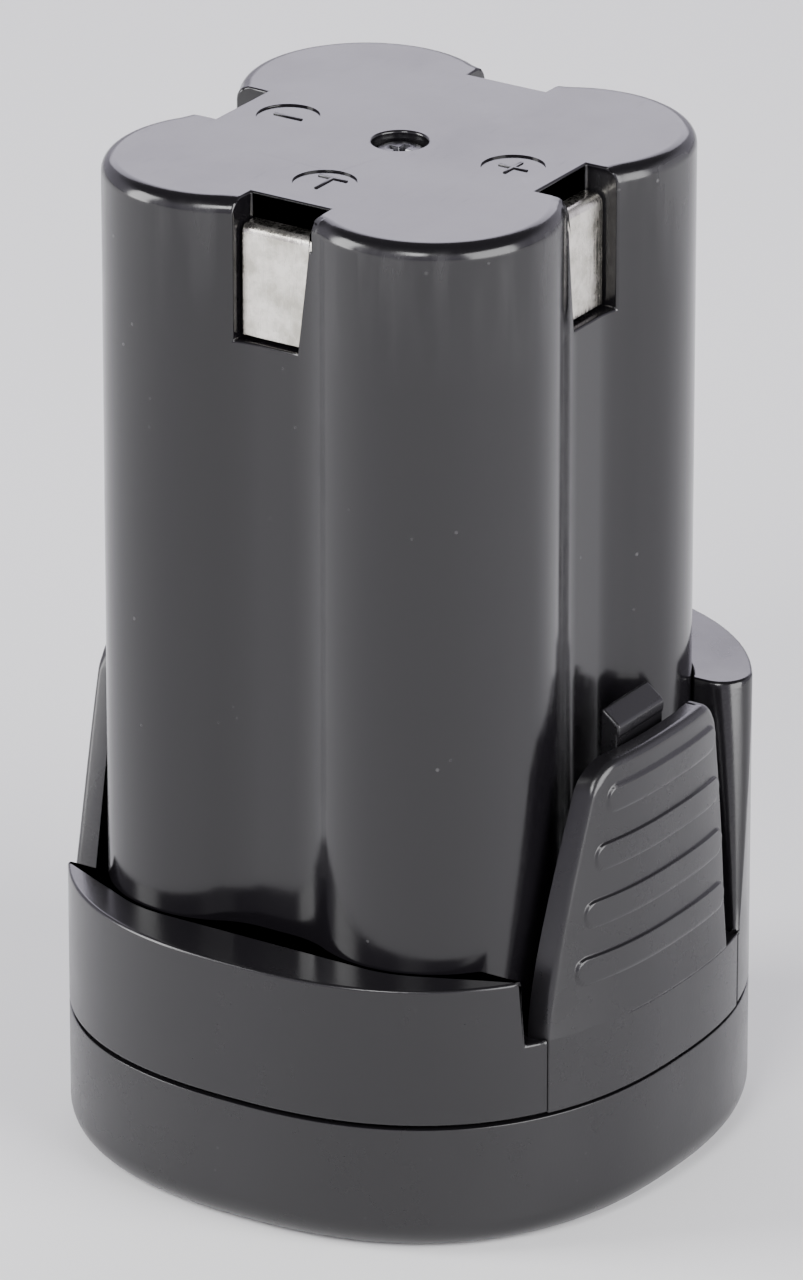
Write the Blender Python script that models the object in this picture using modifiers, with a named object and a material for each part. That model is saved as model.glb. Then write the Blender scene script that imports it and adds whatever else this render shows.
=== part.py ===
"""Slide-in battery pack: four cells in a lobed tower, on a rounded base with two squeeze latches.

The origin is the middle of the base's underside and +Z is up. The latches are on +X and -X,
the plain front is -Y, and the raised block of the collar is at the back, +Y.
"""
import math

import bmesh
import bpy
from mathutils import Matrix, Vector

MM = 0.001
GAP = 0.3 * MM                      # clearance between pieces that touch on the real pack

# Cells: four round cells, 65.2 mm long over the positive cap
CELL_RADIUS = 9.15 * MM
CELL_BODY = 64.5 * MM
CELL_CAP_RADIUS = 4.0 * MM
CELL_CAP_HEIGHT = 0.4 * MM
CELL_PITCH_X = 20.8 * MM
CELL_PITCH_Y = 21.3 * MM
CELL_CLEARANCE = 0.35 * MM          # between a cell and the tower's wall

# Tower housing
TOWER_Y = -1.6 * MM                 # the tower stands a little in front of the base's middle
TOWER_FOOT = 12.2 * MM
TOWER_TOP = 92.2 * MM
TOWER_WALL = 1.6 * MM
TOWER_ROOF = 2.0 * MM
TOWER_EDGE = 0.9 * MM
WEB_HALF_WIDTH = 3.9 * MM           # flat strip between two lobes
FLANGE_STEP = 1.2 * MM
FLANGE_HEIGHT = 1.9 * MM
LOBE_RADIUS = CELL_RADIUS + CELL_CLEARANCE + TOWER_WALL
LOBE_STEPS = 15

# Recesses for the terminals, one in each flat strip, open at the top
RECESS_HALF_WIDTH = 4.0 * MM
RECESS_HEIGHT = 12.7 * MM
RECESS_FLOOR_X = 16.35 * MM         # distance from the tower's axis
RECESS_FLOOR_Y = 17.1 * MM
RECESS_WALL = 1.5 * MM

# Terminal plates
PLATE_THICKNESS = 0.6 * MM
PLATE_TOP_DROP = 2.3 * MM           # from the tower's top down to the folded edge
PLATE_STAND = 1.3 * MM              # from the recess floor to the plate's inner face
PLATE_TAIL = 5.4 * MM
PLATE_BEND = 0.9 * MM

# Marks and screw in the tower's top
MARK_RADIUS = 2.8 * MM
MARK_DEPTH = 0.2 * MM
MARK_RELIEF = 0.15 * MM
MARK_STROKE = 0.4 * MM
MARK_LENGTH = 2.9 * MM
MARK_DISTANCE_X = 11.5 * MM
MARK_DISTANCE_Y = 11.8 * MM
TOP_SCREW_HOLE = 2.45 * MM
TOP_SCREW_HEAD = 2.15 * MM
TOP_SCREW_SHANK = 1.2 * MM
TOP_SCREW_SINK = 0.8 * MM           # the head lies this far below the top
TOP_SCREW_HEAD_HEIGHT = 0.7 * MM
TOP_SCREW_LENGTH = 8.0 * MM

# Base outline: a rounded square
BASE_HALF_X = 28.3 * MM
BASE_HALF_Y = 29.2 * MM
BASE_POWER = 2.4
BASE_STEPS = 18                     # points in each quarter

# Bottom cap
CAP_HEIGHT = 12.0 * MM
CAP_WALL = 2.0 * MM
CAP_FLOOR = 2.2 * MM
CAP_EDGE = 3.0 * MM
POST_RADIUS = 1.6 * MM

# Collar
COLLAR_WALL = 2.0 * MM
COLLAR_TOP = 25.2 * MM
COLLAR_PLATE = 1.8 * MM             # thickness of every level face
BLOCK_TOP = 41.2 * MM
BLOCK_EDGE = 0.4 * MM
BLOCK_FRONT_LOW = 11.3 * MM         # y of the block's front face at the well floor
BLOCK_FRONT_HIGH = 14.0 * MM        # y of the same face at the block's top
WELL_FLOOR = 19.2 * MM
WELL_FRONT = -18.5 * MM
WELL_FRONT_LEAN = 0.4 * MM

# Latches
LATCH_THICKNESS = 1.8 * MM
LATCH_RAIL = 1.5 * MM               # collar wall left behind the latch's foot
LATCH_TOP = 42.7 * MM
LATCH_FRONT_LOW = -16.7 * MM
LATCH_FRONT_HIGH = -10.2 * MM
LATCH_BACK = 8.8 * MM
LATCH_CORNER = 2.5 * MM
LATCH_LEAN = 0.061                  # inward slope of the tongue
LATCH_ROOT_GAP = 0.4 * MM
LATCH_HINGE_X = 25.8 * MM
RIB_COUNT = 4                       # grip ribs on the tongue's outer face
RIB_FIRST_TOP = 40.6 * MM
RIB_PITCH = 4.95 * MM
RIB_HEIGHT = 2.6 * MM
RIB_RISE = 0.22 * MM
RIB_FRONT_MARGIN = 1.9 * MM
RIB_BACK_MARGIN = 0.5 * MM
HOOK_WIDTH = 7.4 * MM
HOOK_MIDDLE_Y = -0.9 * MM
HOOK_TOP_RISE = 2.8 * MM            # the hook's ridge above the tongue's top edge
HOOK_NOSE_RISE = 1.5 * MM
HOOK_NOSE_HEIGHT = 1.0 * MM
HOOK_ROOT_DROP = 6.7 * MM
HOOK_DEPTH = 2.3 * MM               # from the tongue's inner face to the hook's back
HOOK_NOSE_BACK = 0.6 * MM           # from the tongue's inner face to the nose
HOOK_NECK = 0.75 * MM

# Cap screws
SCREW_SIDE_ROOM = 0.8 * MM          # between a screw's boss and the tower
SCREW_END_ROOM = 0.55 * MM
SCREW_SHANK = 1.0 * MM
SCREW_HEAD = 1.9 * MM
SCREW_HEAD_HEIGHT = 1.2 * MM
SCREW_SINK = 1.5 * MM
SCREW_SEAT = 3.0 * MM               # height of the shoulder that the head pulls on
SCREW_LENGTH = 12.5 * MM
BOSS_RADIUS = 2.2 * MM
CAP_BOSS_RADIUS = 3.0 * MM

# Holders, straps and board
HOLDER_PLATE = 1.5 * MM
HOLDER_POST = 1.5 * MM
HOLDER_POST_LENGTH = 12.0 * MM
HOLDER_POST_ROOM = 0.9 * MM          # between a holder's post and the tower's wall
HOLDER_LIP = 0.5 * MM
WIRE_HOLE = 5.2 * MM
STRAP_THICKNESS = 0.25 * MM
STRAP_WIDTH = 5.5 * MM
STRAP_OVERHANG = 3.0 * MM
RING_INNER = 4.6 * MM
RING_OUTER = 8.6 * MM
RING_THICKNESS = 0.25 * MM
BLOCK_HALF_X = 13.5 * MM            # contact block
BLOCK_HALF_Y = 14.2 * MM
BLOCK_WALL = 1.5 * MM
BLOCK_BOSS = 3.0 * MM
BLOCK_HOLE_X = 5.4 * MM
BOARD_HALF_X = 13.5 * MM
BOARD_HALF_Y = 14.5 * MM
BOARD_THICKNESS = 1.2 * MM
BOARD_TOP = 7.8 * MM
FOAM_HALF = 11.0 * MM
WIRE_RADIUS = 0.65 * MM
WIRE_CIRCLE = 3.1 * MM
THERMISTOR_Z = 46.0 * MM

# Levels that follow from the sizes above
HALF_PITCH_X = CELL_PITCH_X / 2
HALF_PITCH_Y = CELL_PITCH_Y / 2
WEB_X = HALF_PITCH_X + math.sqrt(LOBE_RADIUS ** 2 - (HALF_PITCH_Y - WEB_HALF_WIDTH) ** 2)
WEB_Y = HALF_PITCH_Y + math.sqrt(LOBE_RADIUS ** 2 - (HALF_PITCH_X - WEB_HALF_WIDTH) ** 2)
RECESS_BOTTOM = TOWER_TOP - RECESS_HEIGHT
SCREW_SIDE_X = WEB_X + BOSS_RADIUS + SCREW_SIDE_ROOM
SCREW_END_Y = WEB_Y - TOWER_Y + BOSS_RADIUS + SCREW_END_ROOM
HOLDER_POST_X = WEB_X - TOWER_WALL - HOLDER_POST - HOLDER_POST_ROOM
HOLDER_POST_Y = WEB_Y - TOWER_WALL - HOLDER_POST - HOLDER_POST_ROOM
COLLAR_BOTTOM = CAP_HEIGHT + GAP
SHELF_BOTTOM = WELL_FLOOR - COLLAR_PLATE
COLLAR_THICK_WALL = LATCH_THICKNESS + GAP + LATCH_RAIL
LOWER_PLATE_TOP = TOWER_FOOT - GAP - 0.05 * MM
LOWER_PLATE_BOTTOM = LOWER_PLATE_TOP - HOLDER_PLATE
LOWER_STRAP = LOWER_PLATE_TOP + GAP
CELL_LOW = LOWER_STRAP + STRAP_THICKNESS + GAP
CELL_HIGH = CELL_LOW + CELL_BODY + GAP + CELL_CAP_HEIGHT
UPPER_STRAP = CELL_HIGH + GAP
UPPER_PLATE_BOTTOM = UPPER_STRAP + STRAP_THICKNESS + GAP
UPPER_PLATE_TOP = UPPER_PLATE_BOTTOM + HOLDER_PLATE
BLOCK_BOTTOM = UPPER_PLATE_TOP + GAP
ROOF_UNDERSIDE = TOWER_TOP - TOWER_ROOF
CONTACT_BLOCK_TOP = ROOF_UNDERSIDE - GAP
PLATE_TOP = TOWER_TOP - PLATE_TOP_DROP
BEYOND = 2.0 * MM                   # how far a cutter reaches past what it cuts
SINK = 0.3 * MM                     # how deep a joined piece starts inside its neighbour

parts = None
cutters = None


# ---------------------------------------------------------------- building tools

def new_collection(name):
    collection = bpy.data.collections.new(name)
    bpy.context.scene.collection.children.link(collection)
    return collection


def surface(name, colour, roughness, metallic=0.0):
    """A plain Principled material for one sub-part."""
    material = bpy.data.materials.new(name)
    material.use_nodes = True
    shader = material.node_tree.nodes["Principled BSDF"]
    shader.inputs["Base Color"].default_value = (*colour, 1.0)
    shader.inputs["Roughness"].default_value = roughness
    shader.inputs["Metallic"].default_value = metallic
    return material


def place(obj, material=None):
    """Put a part in the parts collection, or a cutter, which has no material, with the cutters."""
    if material is None:
        cutters.objects.link(obj)
        obj.hide_render = True
        obj.display_type = "WIRE"
    else:
        parts.objects.link(obj)
        obj.data.materials.clear()
        obj.data.materials.append(material)
    return obj


def baked(obj):
    """The object's evaluated shape as a plain mesh in its own frame, with loose caps welded."""
    bpy.context.view_layer.update()
    graph = bpy.context.evaluated_depsgraph_get()
    mesh = bpy.data.meshes.new_from_object(obj.evaluated_get(graph))
    work = bmesh.new()
    work.from_mesh(mesh)
    bmesh.ops.remove_doubles(work, verts=work.verts, dist=1e-7)
    work.to_mesh(mesh)
    work.free()
    return mesh


def from_curve(name, curve, material=None):
    """Turn a curve into a mesh object of the same place."""
    carrier = bpy.data.objects.new(name + "_curve", curve)
    bpy.context.scene.collection.objects.link(carrier)
    mesh = baked(carrier)
    bpy.data.objects.remove(carrier)
    mesh.name = name
    return place(bpy.data.objects.new(name, mesh), material)


def prism(name, outlines, low, high, material=None):
    """A flat outline, or an outline with holes, drawn in X and Y and extruded from low to high."""
    curve = bpy.data.curves.new(name, "CURVE")
    curve.dimensions = "2D"
    curve.fill_mode = "BOTH"
    curve.extrude = (high - low) / 2
    for outline in outlines:
        spline = curve.splines.new("POLY")
        spline.points.add(len(outline) - 1)
        for point, (x, y) in zip(spline.points, outline):
            point.co = (x, y, 0.0, 1.0)
        spline.use_cyclic_u = True
    obj = from_curve(name, curve, material)
    obj.data.transform(Matrix.Translation((0, 0, (high + low) / 2)))
    if len(outlines) == 1:
        merge_end_faces(obj.data)
    return obj


def merge_end_faces(mesh):
    """Make each end of a prism one face, so that a bevel runs evenly round it."""
    work = bmesh.new()
    work.from_mesh(mesh)
    inner = [edge for edge in work.edges if all(abs(face.normal.z) > 0.999 for face in edge.link_faces)]
    bmesh.ops.dissolve_edges(work, edges=inner, use_verts=False)
    work.to_mesh(mesh)
    work.free()


def turned_to_x(obj):
    """Lay a prism down: what was drawn in X and Y is then in Y and Z, extruded along X."""
    obj.data.transform(Matrix.Rotation(math.pi / 2, 4, "Z") @ Matrix.Rotation(math.pi / 2, 4, "X"))
    return obj


def turned_to_y(obj):
    """Lay a prism down: what was drawn in X and Y is then in X and Z, extruded along -Y."""
    obj.data.transform(Matrix.Rotation(math.pi / 2, 4, "X"))
    return obj


def box(name, low, high, material=None):
    mesh = bpy.data.meshes.new(name)
    work = bmesh.new()
    bmesh.ops.create_cube(work, size=1.0)
    size = Vector(high) - Vector(low)
    bmesh.ops.scale(work, vec=size, verts=work.verts)
    work.to_mesh(mesh)
    work.free()
    obj = bpy.data.objects.new(name, mesh)
    obj.location = (Vector(low) + Vector(high)) / 2
    return place(obj, material)


def cylinder(name, radius, low, high, x, y, material=None, sides=32):
    mesh = bpy.data.meshes.new(name)
    work = bmesh.new()
    bmesh.ops.create_cone(work, cap_ends=True, segments=sides, radius1=radius, radius2=radius,
                          depth=high - low)
    work.to_mesh(mesh)
    work.free()
    obj = bpy.data.objects.new(name, mesh)
    obj.location = (x, y, (low + high) / 2)
    return place(obj, material)


def turned(name, profile, x, y, material=None, steps=32):
    """A turned shape: profile is (radius, z) from the top of the axis down to its bottom."""
    mesh = bpy.data.meshes.new(name)
    points = [(radius, 0.0, z) for radius, z in profile]
    edges = [(i, i + 1) for i in range(len(points) - 1)]
    mesh.from_pydata(points, edges, [])
    obj = place(bpy.data.objects.new(name, mesh), material)
    obj.location = (x, y, 0.0)
    spin = obj.modifiers.new("Turn", "SCREW")
    spin.steps = steps
    spin.render_steps = steps
    spin.use_merge_vertices = True
    spin.merge_threshold = 0.00001
    return obj


def tube(name, points, radius, material):
    """A wire along a smooth curve through the given points."""
    curve = bpy.data.curves.new(name, "CURVE")
    curve.dimensions = "3D"
    curve.bevel_depth = radius
    curve.bevel_resolution = 2
    curve.use_fill_caps = True
    spline = curve.splines.new("POLY")
    route = smooth_route(points)
    spline.points.add(len(route) - 1)
    for point, place_on_route in zip(spline.points, route):
        point.co = (*place_on_route, 1.0)
    return from_curve(name, curve, material)


def smooth_route(points, steps=4):
    """Points along a Catmull-Rom curve through the route's own points."""
    knots = [Vector(p) for p in points]
    knots = [2 * knots[0] - knots[1]] + knots + [2 * knots[-1] - knots[-2]]
    route = []
    for a, b, c, d in zip(knots, knots[1:], knots[2:], knots[3:]):
        for i in range(steps):
            t = i / steps
            route.append(0.5 * (2 * b + (c - a) * t + (2 * a - 5 * b + 4 * c - d) * t ** 2
                                + (3 * b - a - 3 * c + d) * t ** 3))
    route.append(knots[-2])
    return route


def boolean(obj, operation, others):
    for other in others:
        step = obj.modifiers.new(other.name, "BOOLEAN")
        step.operation = operation
        step.solver = "EXACT"
        step.object = other
    return obj


def cut(obj, *others):
    return boolean(obj, "DIFFERENCE", others)


def join(obj, *others):
    return boolean(obj, "UNION", others)


def keep_common(obj, *others):
    return boolean(obj, "INTERSECT", others)


def round_rim(obj, level, width, segments):
    """Round the edges that lie at one level of an upright prism."""
    mesh = obj.data
    weights = mesh.attributes.new("bevel_weight_edge", "FLOAT", "EDGE")
    for edge in mesh.edges:
        at_level = all(abs(mesh.vertices[i].co.z - level) < 1e-6 for i in edge.vertices)
        weights.data[edge.index].value = 1.0 if at_level else 0.0
    bevel = obj.modifiers.new("Rim", "BEVEL")
    bevel.limit_method = "WEIGHT"
    bevel.width = width
    bevel.segments = segments
    return obj


def round_upright_edges(obj, width, segments=3):
    """Round the four upright edges of a box."""
    mesh = obj.data
    weights = mesh.attributes.new("bevel_weight_edge", "FLOAT", "EDGE")
    for edge in mesh.edges:
        a, b = (mesh.vertices[i].co for i in edge.vertices)
        upright = abs(a.x - b.x) < 1e-7 and abs(a.y - b.y) < 1e-7
        weights.data[edge.index].value = 1.0 if upright else 0.0
    bevel = obj.modifiers.new("Uprights", "BEVEL")
    bevel.limit_method = "WEIGHT"
    bevel.width = width
    bevel.segments = segments
    return obj


def smooth(obj):
    obj.data.shade_smooth()
    obj.data.set_sharp_from_angle(angle=math.radians(35))
    return obj


# ---------------------------------------------------------------- outlines

def base_outline(inset):
    """The rounded square of the base, drawn in by inset."""
    half_x = BASE_HALF_X - inset
    half_y = BASE_HALF_Y - inset
    outline = []
    for i in range(4 * BASE_STEPS):
        angle = math.pi / 2 * i / BASE_STEPS
        c = math.cos(angle)
        s = math.sin(angle)
        x = half_x * math.copysign(abs(c) ** (2 / BASE_POWER), c)
        y = half_y * math.copysign(abs(s) ** (2 / BASE_POWER), s)
        outline.append((x, y))
    return outline


def lobed_outline(grow):
    """The tower's four-lobed outline, grown by a distance or, if it is negative, drawn in."""
    radius = LOBE_RADIUS + grow
    start = -math.acos((WEB_X + grow - HALF_PITCH_X) / radius)
    end = math.pi / 2 + math.acos((WEB_Y + grow - HALF_PITCH_Y) / radius)
    lobe = []
    for i in range(LOBE_STEPS + 1):
        angle = start + (end - start) * i / LOBE_STEPS
        lobe.append((HALF_PITCH_X + radius * math.cos(angle), HALF_PITCH_Y + radius * math.sin(angle)))
    outline = lobe + [(-x, y) for x, y in reversed(lobe)]
    outline += [(-x, -y) for x, y in lobe] + [(x, -y) for x, y in reversed(lobe)]
    return [(x, y + TOWER_Y) for x, y in outline]


def circle(radius, x, y, sides=32):
    angles = [2 * math.pi * i / sides for i in range(sides)]
    return [(x + radius * math.cos(a), y + radius * math.sin(a)) for a in angles]


def stadium(length, width, x, y, along_y=False, steps=6):
    """A strip with round ends; length is over its ends."""
    half = (length - width) / 2
    outline = []
    for end in (0, 1):
        for i in range(steps + 1):
            angle = -math.pi / 2 + math.pi * i / steps + math.pi * end
            u = (half if end == 0 else -half) + width / 2 * math.cos(angle)
            v = width / 2 * math.sin(angle)
            outline.append((x - v, y + u) if along_y else (x + u, y + v))
    return outline


def block_front(z):
    """The y of the raised block's leaning front face at a level."""
    slope = (BLOCK_FRONT_HIGH - BLOCK_FRONT_LOW) / (BLOCK_TOP - WELL_FLOOR)
    return BLOCK_FRONT_LOW + slope * (z - WELL_FLOOR)


def recess_box(name, axis, sign, floor, half_width, low, high):
    """A box that reaches from a recess floor outwards past the tower, on one side of it."""
    far = max(WEB_X, WEB_Y) + 4 * BEYOND
    near_far = sorted((sign * floor, sign * far))
    if axis == "x":
        return box(name, (near_far[0], TOWER_Y - half_width, low),
                   (near_far[1], TOWER_Y + half_width, high))
    return box(name, (-half_width, TOWER_Y + near_far[0], low),
               (half_width, TOWER_Y + near_far[1], high))


SIDES = (("plus", "x", 1, RECESS_FLOOR_X), ("minus", "x", -1, RECESS_FLOOR_X),
         ("t", "y", -1, RECESS_FLOOR_Y), ("blank", "y", 1, RECESS_FLOOR_Y))
SCREW_PLACES = ((0.0, -SCREW_END_Y), (0.0, SCREW_END_Y), (SCREW_SIDE_X, TOWER_Y), (-SCREW_SIDE_X, TOWER_Y))
CELL_PLACES = (("front_left", -1, -1, False), ("front_right", 1, -1, True),
               ("back_right", 1, 1, False), ("back_left", -1, 1, True))


# ---------------------------------------------------------------- housing

def tower_void():
    """The room inside the tower, narrowed round the recesses."""
    void = prism("tower_void", [lobed_outline(-TOWER_WALL)], TOWER_FOOT - BEYOND, ROOF_UNDERSIDE)
    walls = [recess_box("void_" + name, axis, sign, floor - RECESS_WALL, RECESS_HALF_WIDTH + RECESS_WALL,
                        RECESS_BOTTOM - RECESS_WALL + GAP, TOWER_TOP + BEYOND)
             for name, axis, sign, floor in SIDES]
    return cut(void, *walls)


def mark_strokes():
    """Raised polarity marks: a bar, a cross and a T."""
    floor = TOWER_TOP - MARK_DEPTH
    half = MARK_LENGTH / 2
    thin = MARK_STROKE / 2
    top = floor + MARK_RELIEF
    low = floor - SINK
    plus = MARK_DISTANCE_X
    t_bar = TOWER_Y - MARK_DISTANCE_Y + half - thin
    return [
        box("mark_minus", (-plus - half, TOWER_Y - thin, low), (-plus + half, TOWER_Y + thin, top)),
        box("mark_plus_bar", (plus - half, TOWER_Y - thin, low), (plus + half, TOWER_Y + thin, top)),
        box("mark_plus_stem", (plus - thin, TOWER_Y - half, low), (plus + thin, TOWER_Y + half, top)),
        box("mark_t_bar", (-half, t_bar - thin, low), (half, t_bar + thin, top)),
        box("mark_t_stem", (-thin, t_bar - MARK_LENGTH + thin, low), (thin, t_bar, top)),
    ]


def make_tower():
    material = surface("tower_black_abs", (0.012, 0.012, 0.014), 0.28)
    tower = prism("tower_housing", [lobed_outline(0.0)], TOWER_FOOT, TOWER_TOP, material)
    round_rim(tower, TOWER_TOP, TOWER_EDGE, 3)
    flange = prism("tower_flange", [lobed_outline(FLANGE_STEP)],
                   SHELF_BOTTOM - GAP - FLANGE_HEIGHT, SHELF_BOTTOM - GAP)
    keep_common(flange, prism("flange_limit", [base_outline(COLLAR_THICK_WALL + GAP)],
                              TOWER_FOOT, WELL_FLOOR))
    cut(flange, *[cylinder("flange_notch", BOSS_RADIUS + GAP, TOWER_FOOT, WELL_FLOOR, x, y)
                  for x, y in SCREW_PLACES])
    join(tower, flange)
    cut(tower, tower_void())
    cut(tower, *[recess_box("recess_" + name, axis, sign, floor, RECESS_HALF_WIDTH,
                            RECESS_BOTTOM, TOWER_TOP + BEYOND)
                 for name, axis, sign, floor in SIDES])
    for name, axis, sign, floor in SIDES[:3]:
        reach = floor - RECESS_WALL - BEYOND
        cut(tower, recess_box("tail_slot_" + name, axis, sign, reach, RECESS_HALF_WIDTH,
                              PLATE_TOP - PLATE_THICKNESS - GAP, PLATE_TOP + GAP))
    centres = ((-MARK_DISTANCE_X, TOWER_Y), (MARK_DISTANCE_X, TOWER_Y), (0.0, TOWER_Y - MARK_DISTANCE_Y))
    cut(tower, *[cylinder("mark_disc", MARK_RADIUS, TOWER_TOP - MARK_DEPTH, TOWER_TOP + BEYOND, x, y)
                 for x, y in centres])
    seat = TOWER_TOP - TOP_SCREW_SINK - TOP_SCREW_HEAD_HEIGHT - GAP
    cut(tower, cylinder("screw_seat", TOP_SCREW_HOLE, seat, TOWER_TOP + BEYOND, 0.0, TOWER_Y),
        cylinder("screw_way", TOP_SCREW_SHANK + GAP, ROOF_UNDERSIDE - BEYOND, TOWER_TOP, 0.0, TOWER_Y))
    join(tower, *mark_strokes())
    return tower


def make_cap():
    material = surface("cap_black_abs", (0.014, 0.014, 0.016), 0.36)
    cap = prism("bottom_cap", [base_outline(0.0)], 0.0, CAP_HEIGHT, material)
    round_rim(cap, 0.0, CAP_EDGE, 4)
    cut(cap, prism("cap_room", [base_outline(CAP_WALL)], CAP_FLOOR, CAP_HEIGHT + BEYOND))
    low = CAP_FLOOR - SINK
    join(cap, *[cylinder("cap_boss", CAP_BOSS_RADIUS, low, CAP_HEIGHT - GAP, x, y)
                for x, y in SCREW_PLACES])
    reach = CELL_RADIUS * 0.5
    join(cap, *[cylinder("cap_post", POST_RADIUS, low, LOWER_PLATE_BOTTOM - GAP,
                         sx * (HALF_PITCH_X + reach), TOWER_Y + sy * (HALF_PITCH_Y + reach), sides=16)
                for name, sx, sy, upright in CELL_PLACES])
    cut(cap, *[cylinder("head_well", SCREW_HEAD + GAP, -BEYOND, SCREW_SEAT, x, y) for x, y in SCREW_PLACES])
    cut(cap, *[cylinder("shank_way", SCREW_SHANK + GAP, 0.0, CAP_HEIGHT + BEYOND, x, y, sides=16)
               for x, y in SCREW_PLACES])
    return cap


def well_profile(low, high):
    """The side view of a latch well: its front and back walls lean apart towards the top."""
    lean = WELL_FRONT_LEAN * (high - WELL_FLOOR) / (COLLAR_TOP - WELL_FLOOR)
    return [(WELL_FRONT, low), (block_front(low), low),
            (block_front(high), high), (WELL_FRONT - lean, high)]


def make_collar():
    material = surface("collar_black_abs", (0.014, 0.014, 0.016), 0.36)
    collar = prism("collar", [base_outline(0.0)], COLLAR_BOTTOM, BLOCK_TOP, material)
    round_rim(collar, BLOCK_TOP, BLOCK_EDGE, 2)
    above = BLOCK_TOP + BEYOND
    wide = BASE_HALF_X + BEYOND
    front = -BASE_HALF_Y - BEYOND
    cut(collar, prism("tower_way", [lobed_outline(GAP)], COLLAR_BOTTOM - BEYOND, above + BEYOND))
    cut(collar, prism("lower_room", [base_outline(COLLAR_THICK_WALL)],
                      COLLAR_BOTTOM - BEYOND / 2, SHELF_BOTTOM))
    front_room = prism("front_room", [base_outline(COLLAR_WALL)],
                       COLLAR_BOTTOM + BEYOND, COLLAR_TOP - COLLAR_PLATE)
    keep_common(front_room, box("front_half", (-wide, front, 0.0),
                                (wide, WELL_FRONT - WELL_FRONT_LEAN - COLLAR_PLATE, above)))
    back_room = prism("back_room", [base_outline(COLLAR_WALL)],
                      COLLAR_BOTTOM + BEYOND, BLOCK_TOP - COLLAR_PLATE)
    keep_common(back_room, box("back_half", (-wide, BLOCK_FRONT_HIGH + COLLAR_PLATE, 0.0),
                               (wide, -front, above)))
    cut(collar, front_room, back_room)
    roofs = (COLLAR_TOP - COLLAR_PLATE, BLOCK_TOP - COLLAR_PLATE, SHELF_BOTTOM, SHELF_BOTTOM)
    join(collar, *[cylinder("collar_boss", BOSS_RADIUS, COLLAR_BOTTOM, roof + SINK, x, y, sides=24)
                   for (x, y), roof in zip(SCREW_PLACES, roofs)])
    screw_top = SCREW_SINK + SCREW_HEAD_HEIGHT + SCREW_LENGTH
    cut(collar, *[cylinder("pilot", SCREW_SHANK + GAP, COLLAR_BOTTOM - BEYOND, screw_top + GAP,
                           x, y, sides=16)
                  for x, y in SCREW_PLACES])
    step = [(front, COLLAR_TOP), (block_front(COLLAR_TOP), COLLAR_TOP), (block_front(above), above),
            (front, above)]
    cut(collar, turned_to_x(prism("collar_step", [step], -wide, wide)))
    for side, name in ((1, "right"), (-1, "left")):
        near_far = sorted((side * HALF_PITCH_X, side * wide))
        cut(collar, turned_to_x(prism("well_" + name, [well_profile(WELL_FLOOR, above)], *near_far)))
        pocket = turned_to_x(prism("foot_pocket_" + name, [foot_profile(GAP)], *near_far))
        cut(pocket, prism("pocket_core_" + name, [base_outline(LATCH_THICKNESS + GAP)], 0.0, above))
        cut(collar, pocket)
    return collar


# ---------------------------------------------------------------- latches

def foot_profile(grow):
    """The side view of the latch's foot, in y and z."""
    low = COLLAR_BOTTOM
    front = LATCH_FRONT_LOW
    back = BLOCK_FRONT_LOW - GAP
    if grow > 0:
        return [(front - grow, low - BEYOND), (back + grow, low - BEYOND),
                (back + grow, WELL_FLOOR + BEYOND), (front - grow, WELL_FLOOR + BEYOND)]
    return [(front, low), (back, low), (back, WELL_FLOOR), (front, WELL_FLOOR)]


def tongue_profile():
    """The side view of the tongue: leaning front edge, upright back edge, round upper corners."""
    low = WELL_FLOOR + LATCH_ROOT_GAP
    slope = math.atan2(LATCH_FRONT_HIGH - LATCH_FRONT_LOW, LATCH_TOP - WELL_FLOOR)
    front_low = LATCH_FRONT_LOW + math.tan(slope) * (low - WELL_FLOOR)
    profile = [(front_low, low), (LATCH_BACK, low)]
    centre = (LATCH_BACK - LATCH_CORNER, LATCH_TOP - LATCH_CORNER)
    profile += corner(centre, 0.0, math.pi / 2)
    edge_y = LATCH_FRONT_LOW + math.tan(slope) * (LATCH_TOP - LATCH_CORNER - WELL_FLOOR)
    centre = (edge_y + LATCH_CORNER / math.cos(slope), LATCH_TOP - LATCH_CORNER)
    profile += corner(centre, math.pi / 2, math.pi - slope)
    return profile


def corner(centre, start, end, steps=5):
    points = []
    for i in range(steps + 1):
        angle = start + (end - start) * i / steps
        points.append((centre[0] + LATCH_CORNER * math.cos(angle),
                       centre[1] + LATCH_CORNER * math.sin(angle)))
    return points


def grip_rib(index):
    """One grip rib: a low, round-ended pad that stands out from the tongue's outer face."""
    middle = RIB_FIRST_TOP - index * RIB_PITCH - RIB_HEIGHT / 2
    slope = (LATCH_FRONT_HIGH - LATCH_FRONT_LOW) / (LATCH_TOP - WELL_FLOOR)
    front = LATCH_FRONT_LOW + slope * (middle - WELL_FLOOR) + RIB_FRONT_MARGIN
    back = LATCH_BACK - RIB_BACK_MARGIN
    outline = stadium(back - front, RIB_HEIGHT, (front + back) / 2, middle)
    pad = turned_to_x(prism("rib", [outline], HALF_PITCH_X, BASE_HALF_X + BEYOND))
    keep_common(pad, prism("rib_limit", [base_outline(-RIB_RISE)], WELL_FLOOR - BEYOND, LATCH_TOP + BEYOND))
    core = prism("rib_core", [base_outline(LATCH_THICKNESS / 2)], WELL_FLOOR - BEYOND, LATCH_TOP + BEYOND)
    return cut(pad, core)


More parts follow.
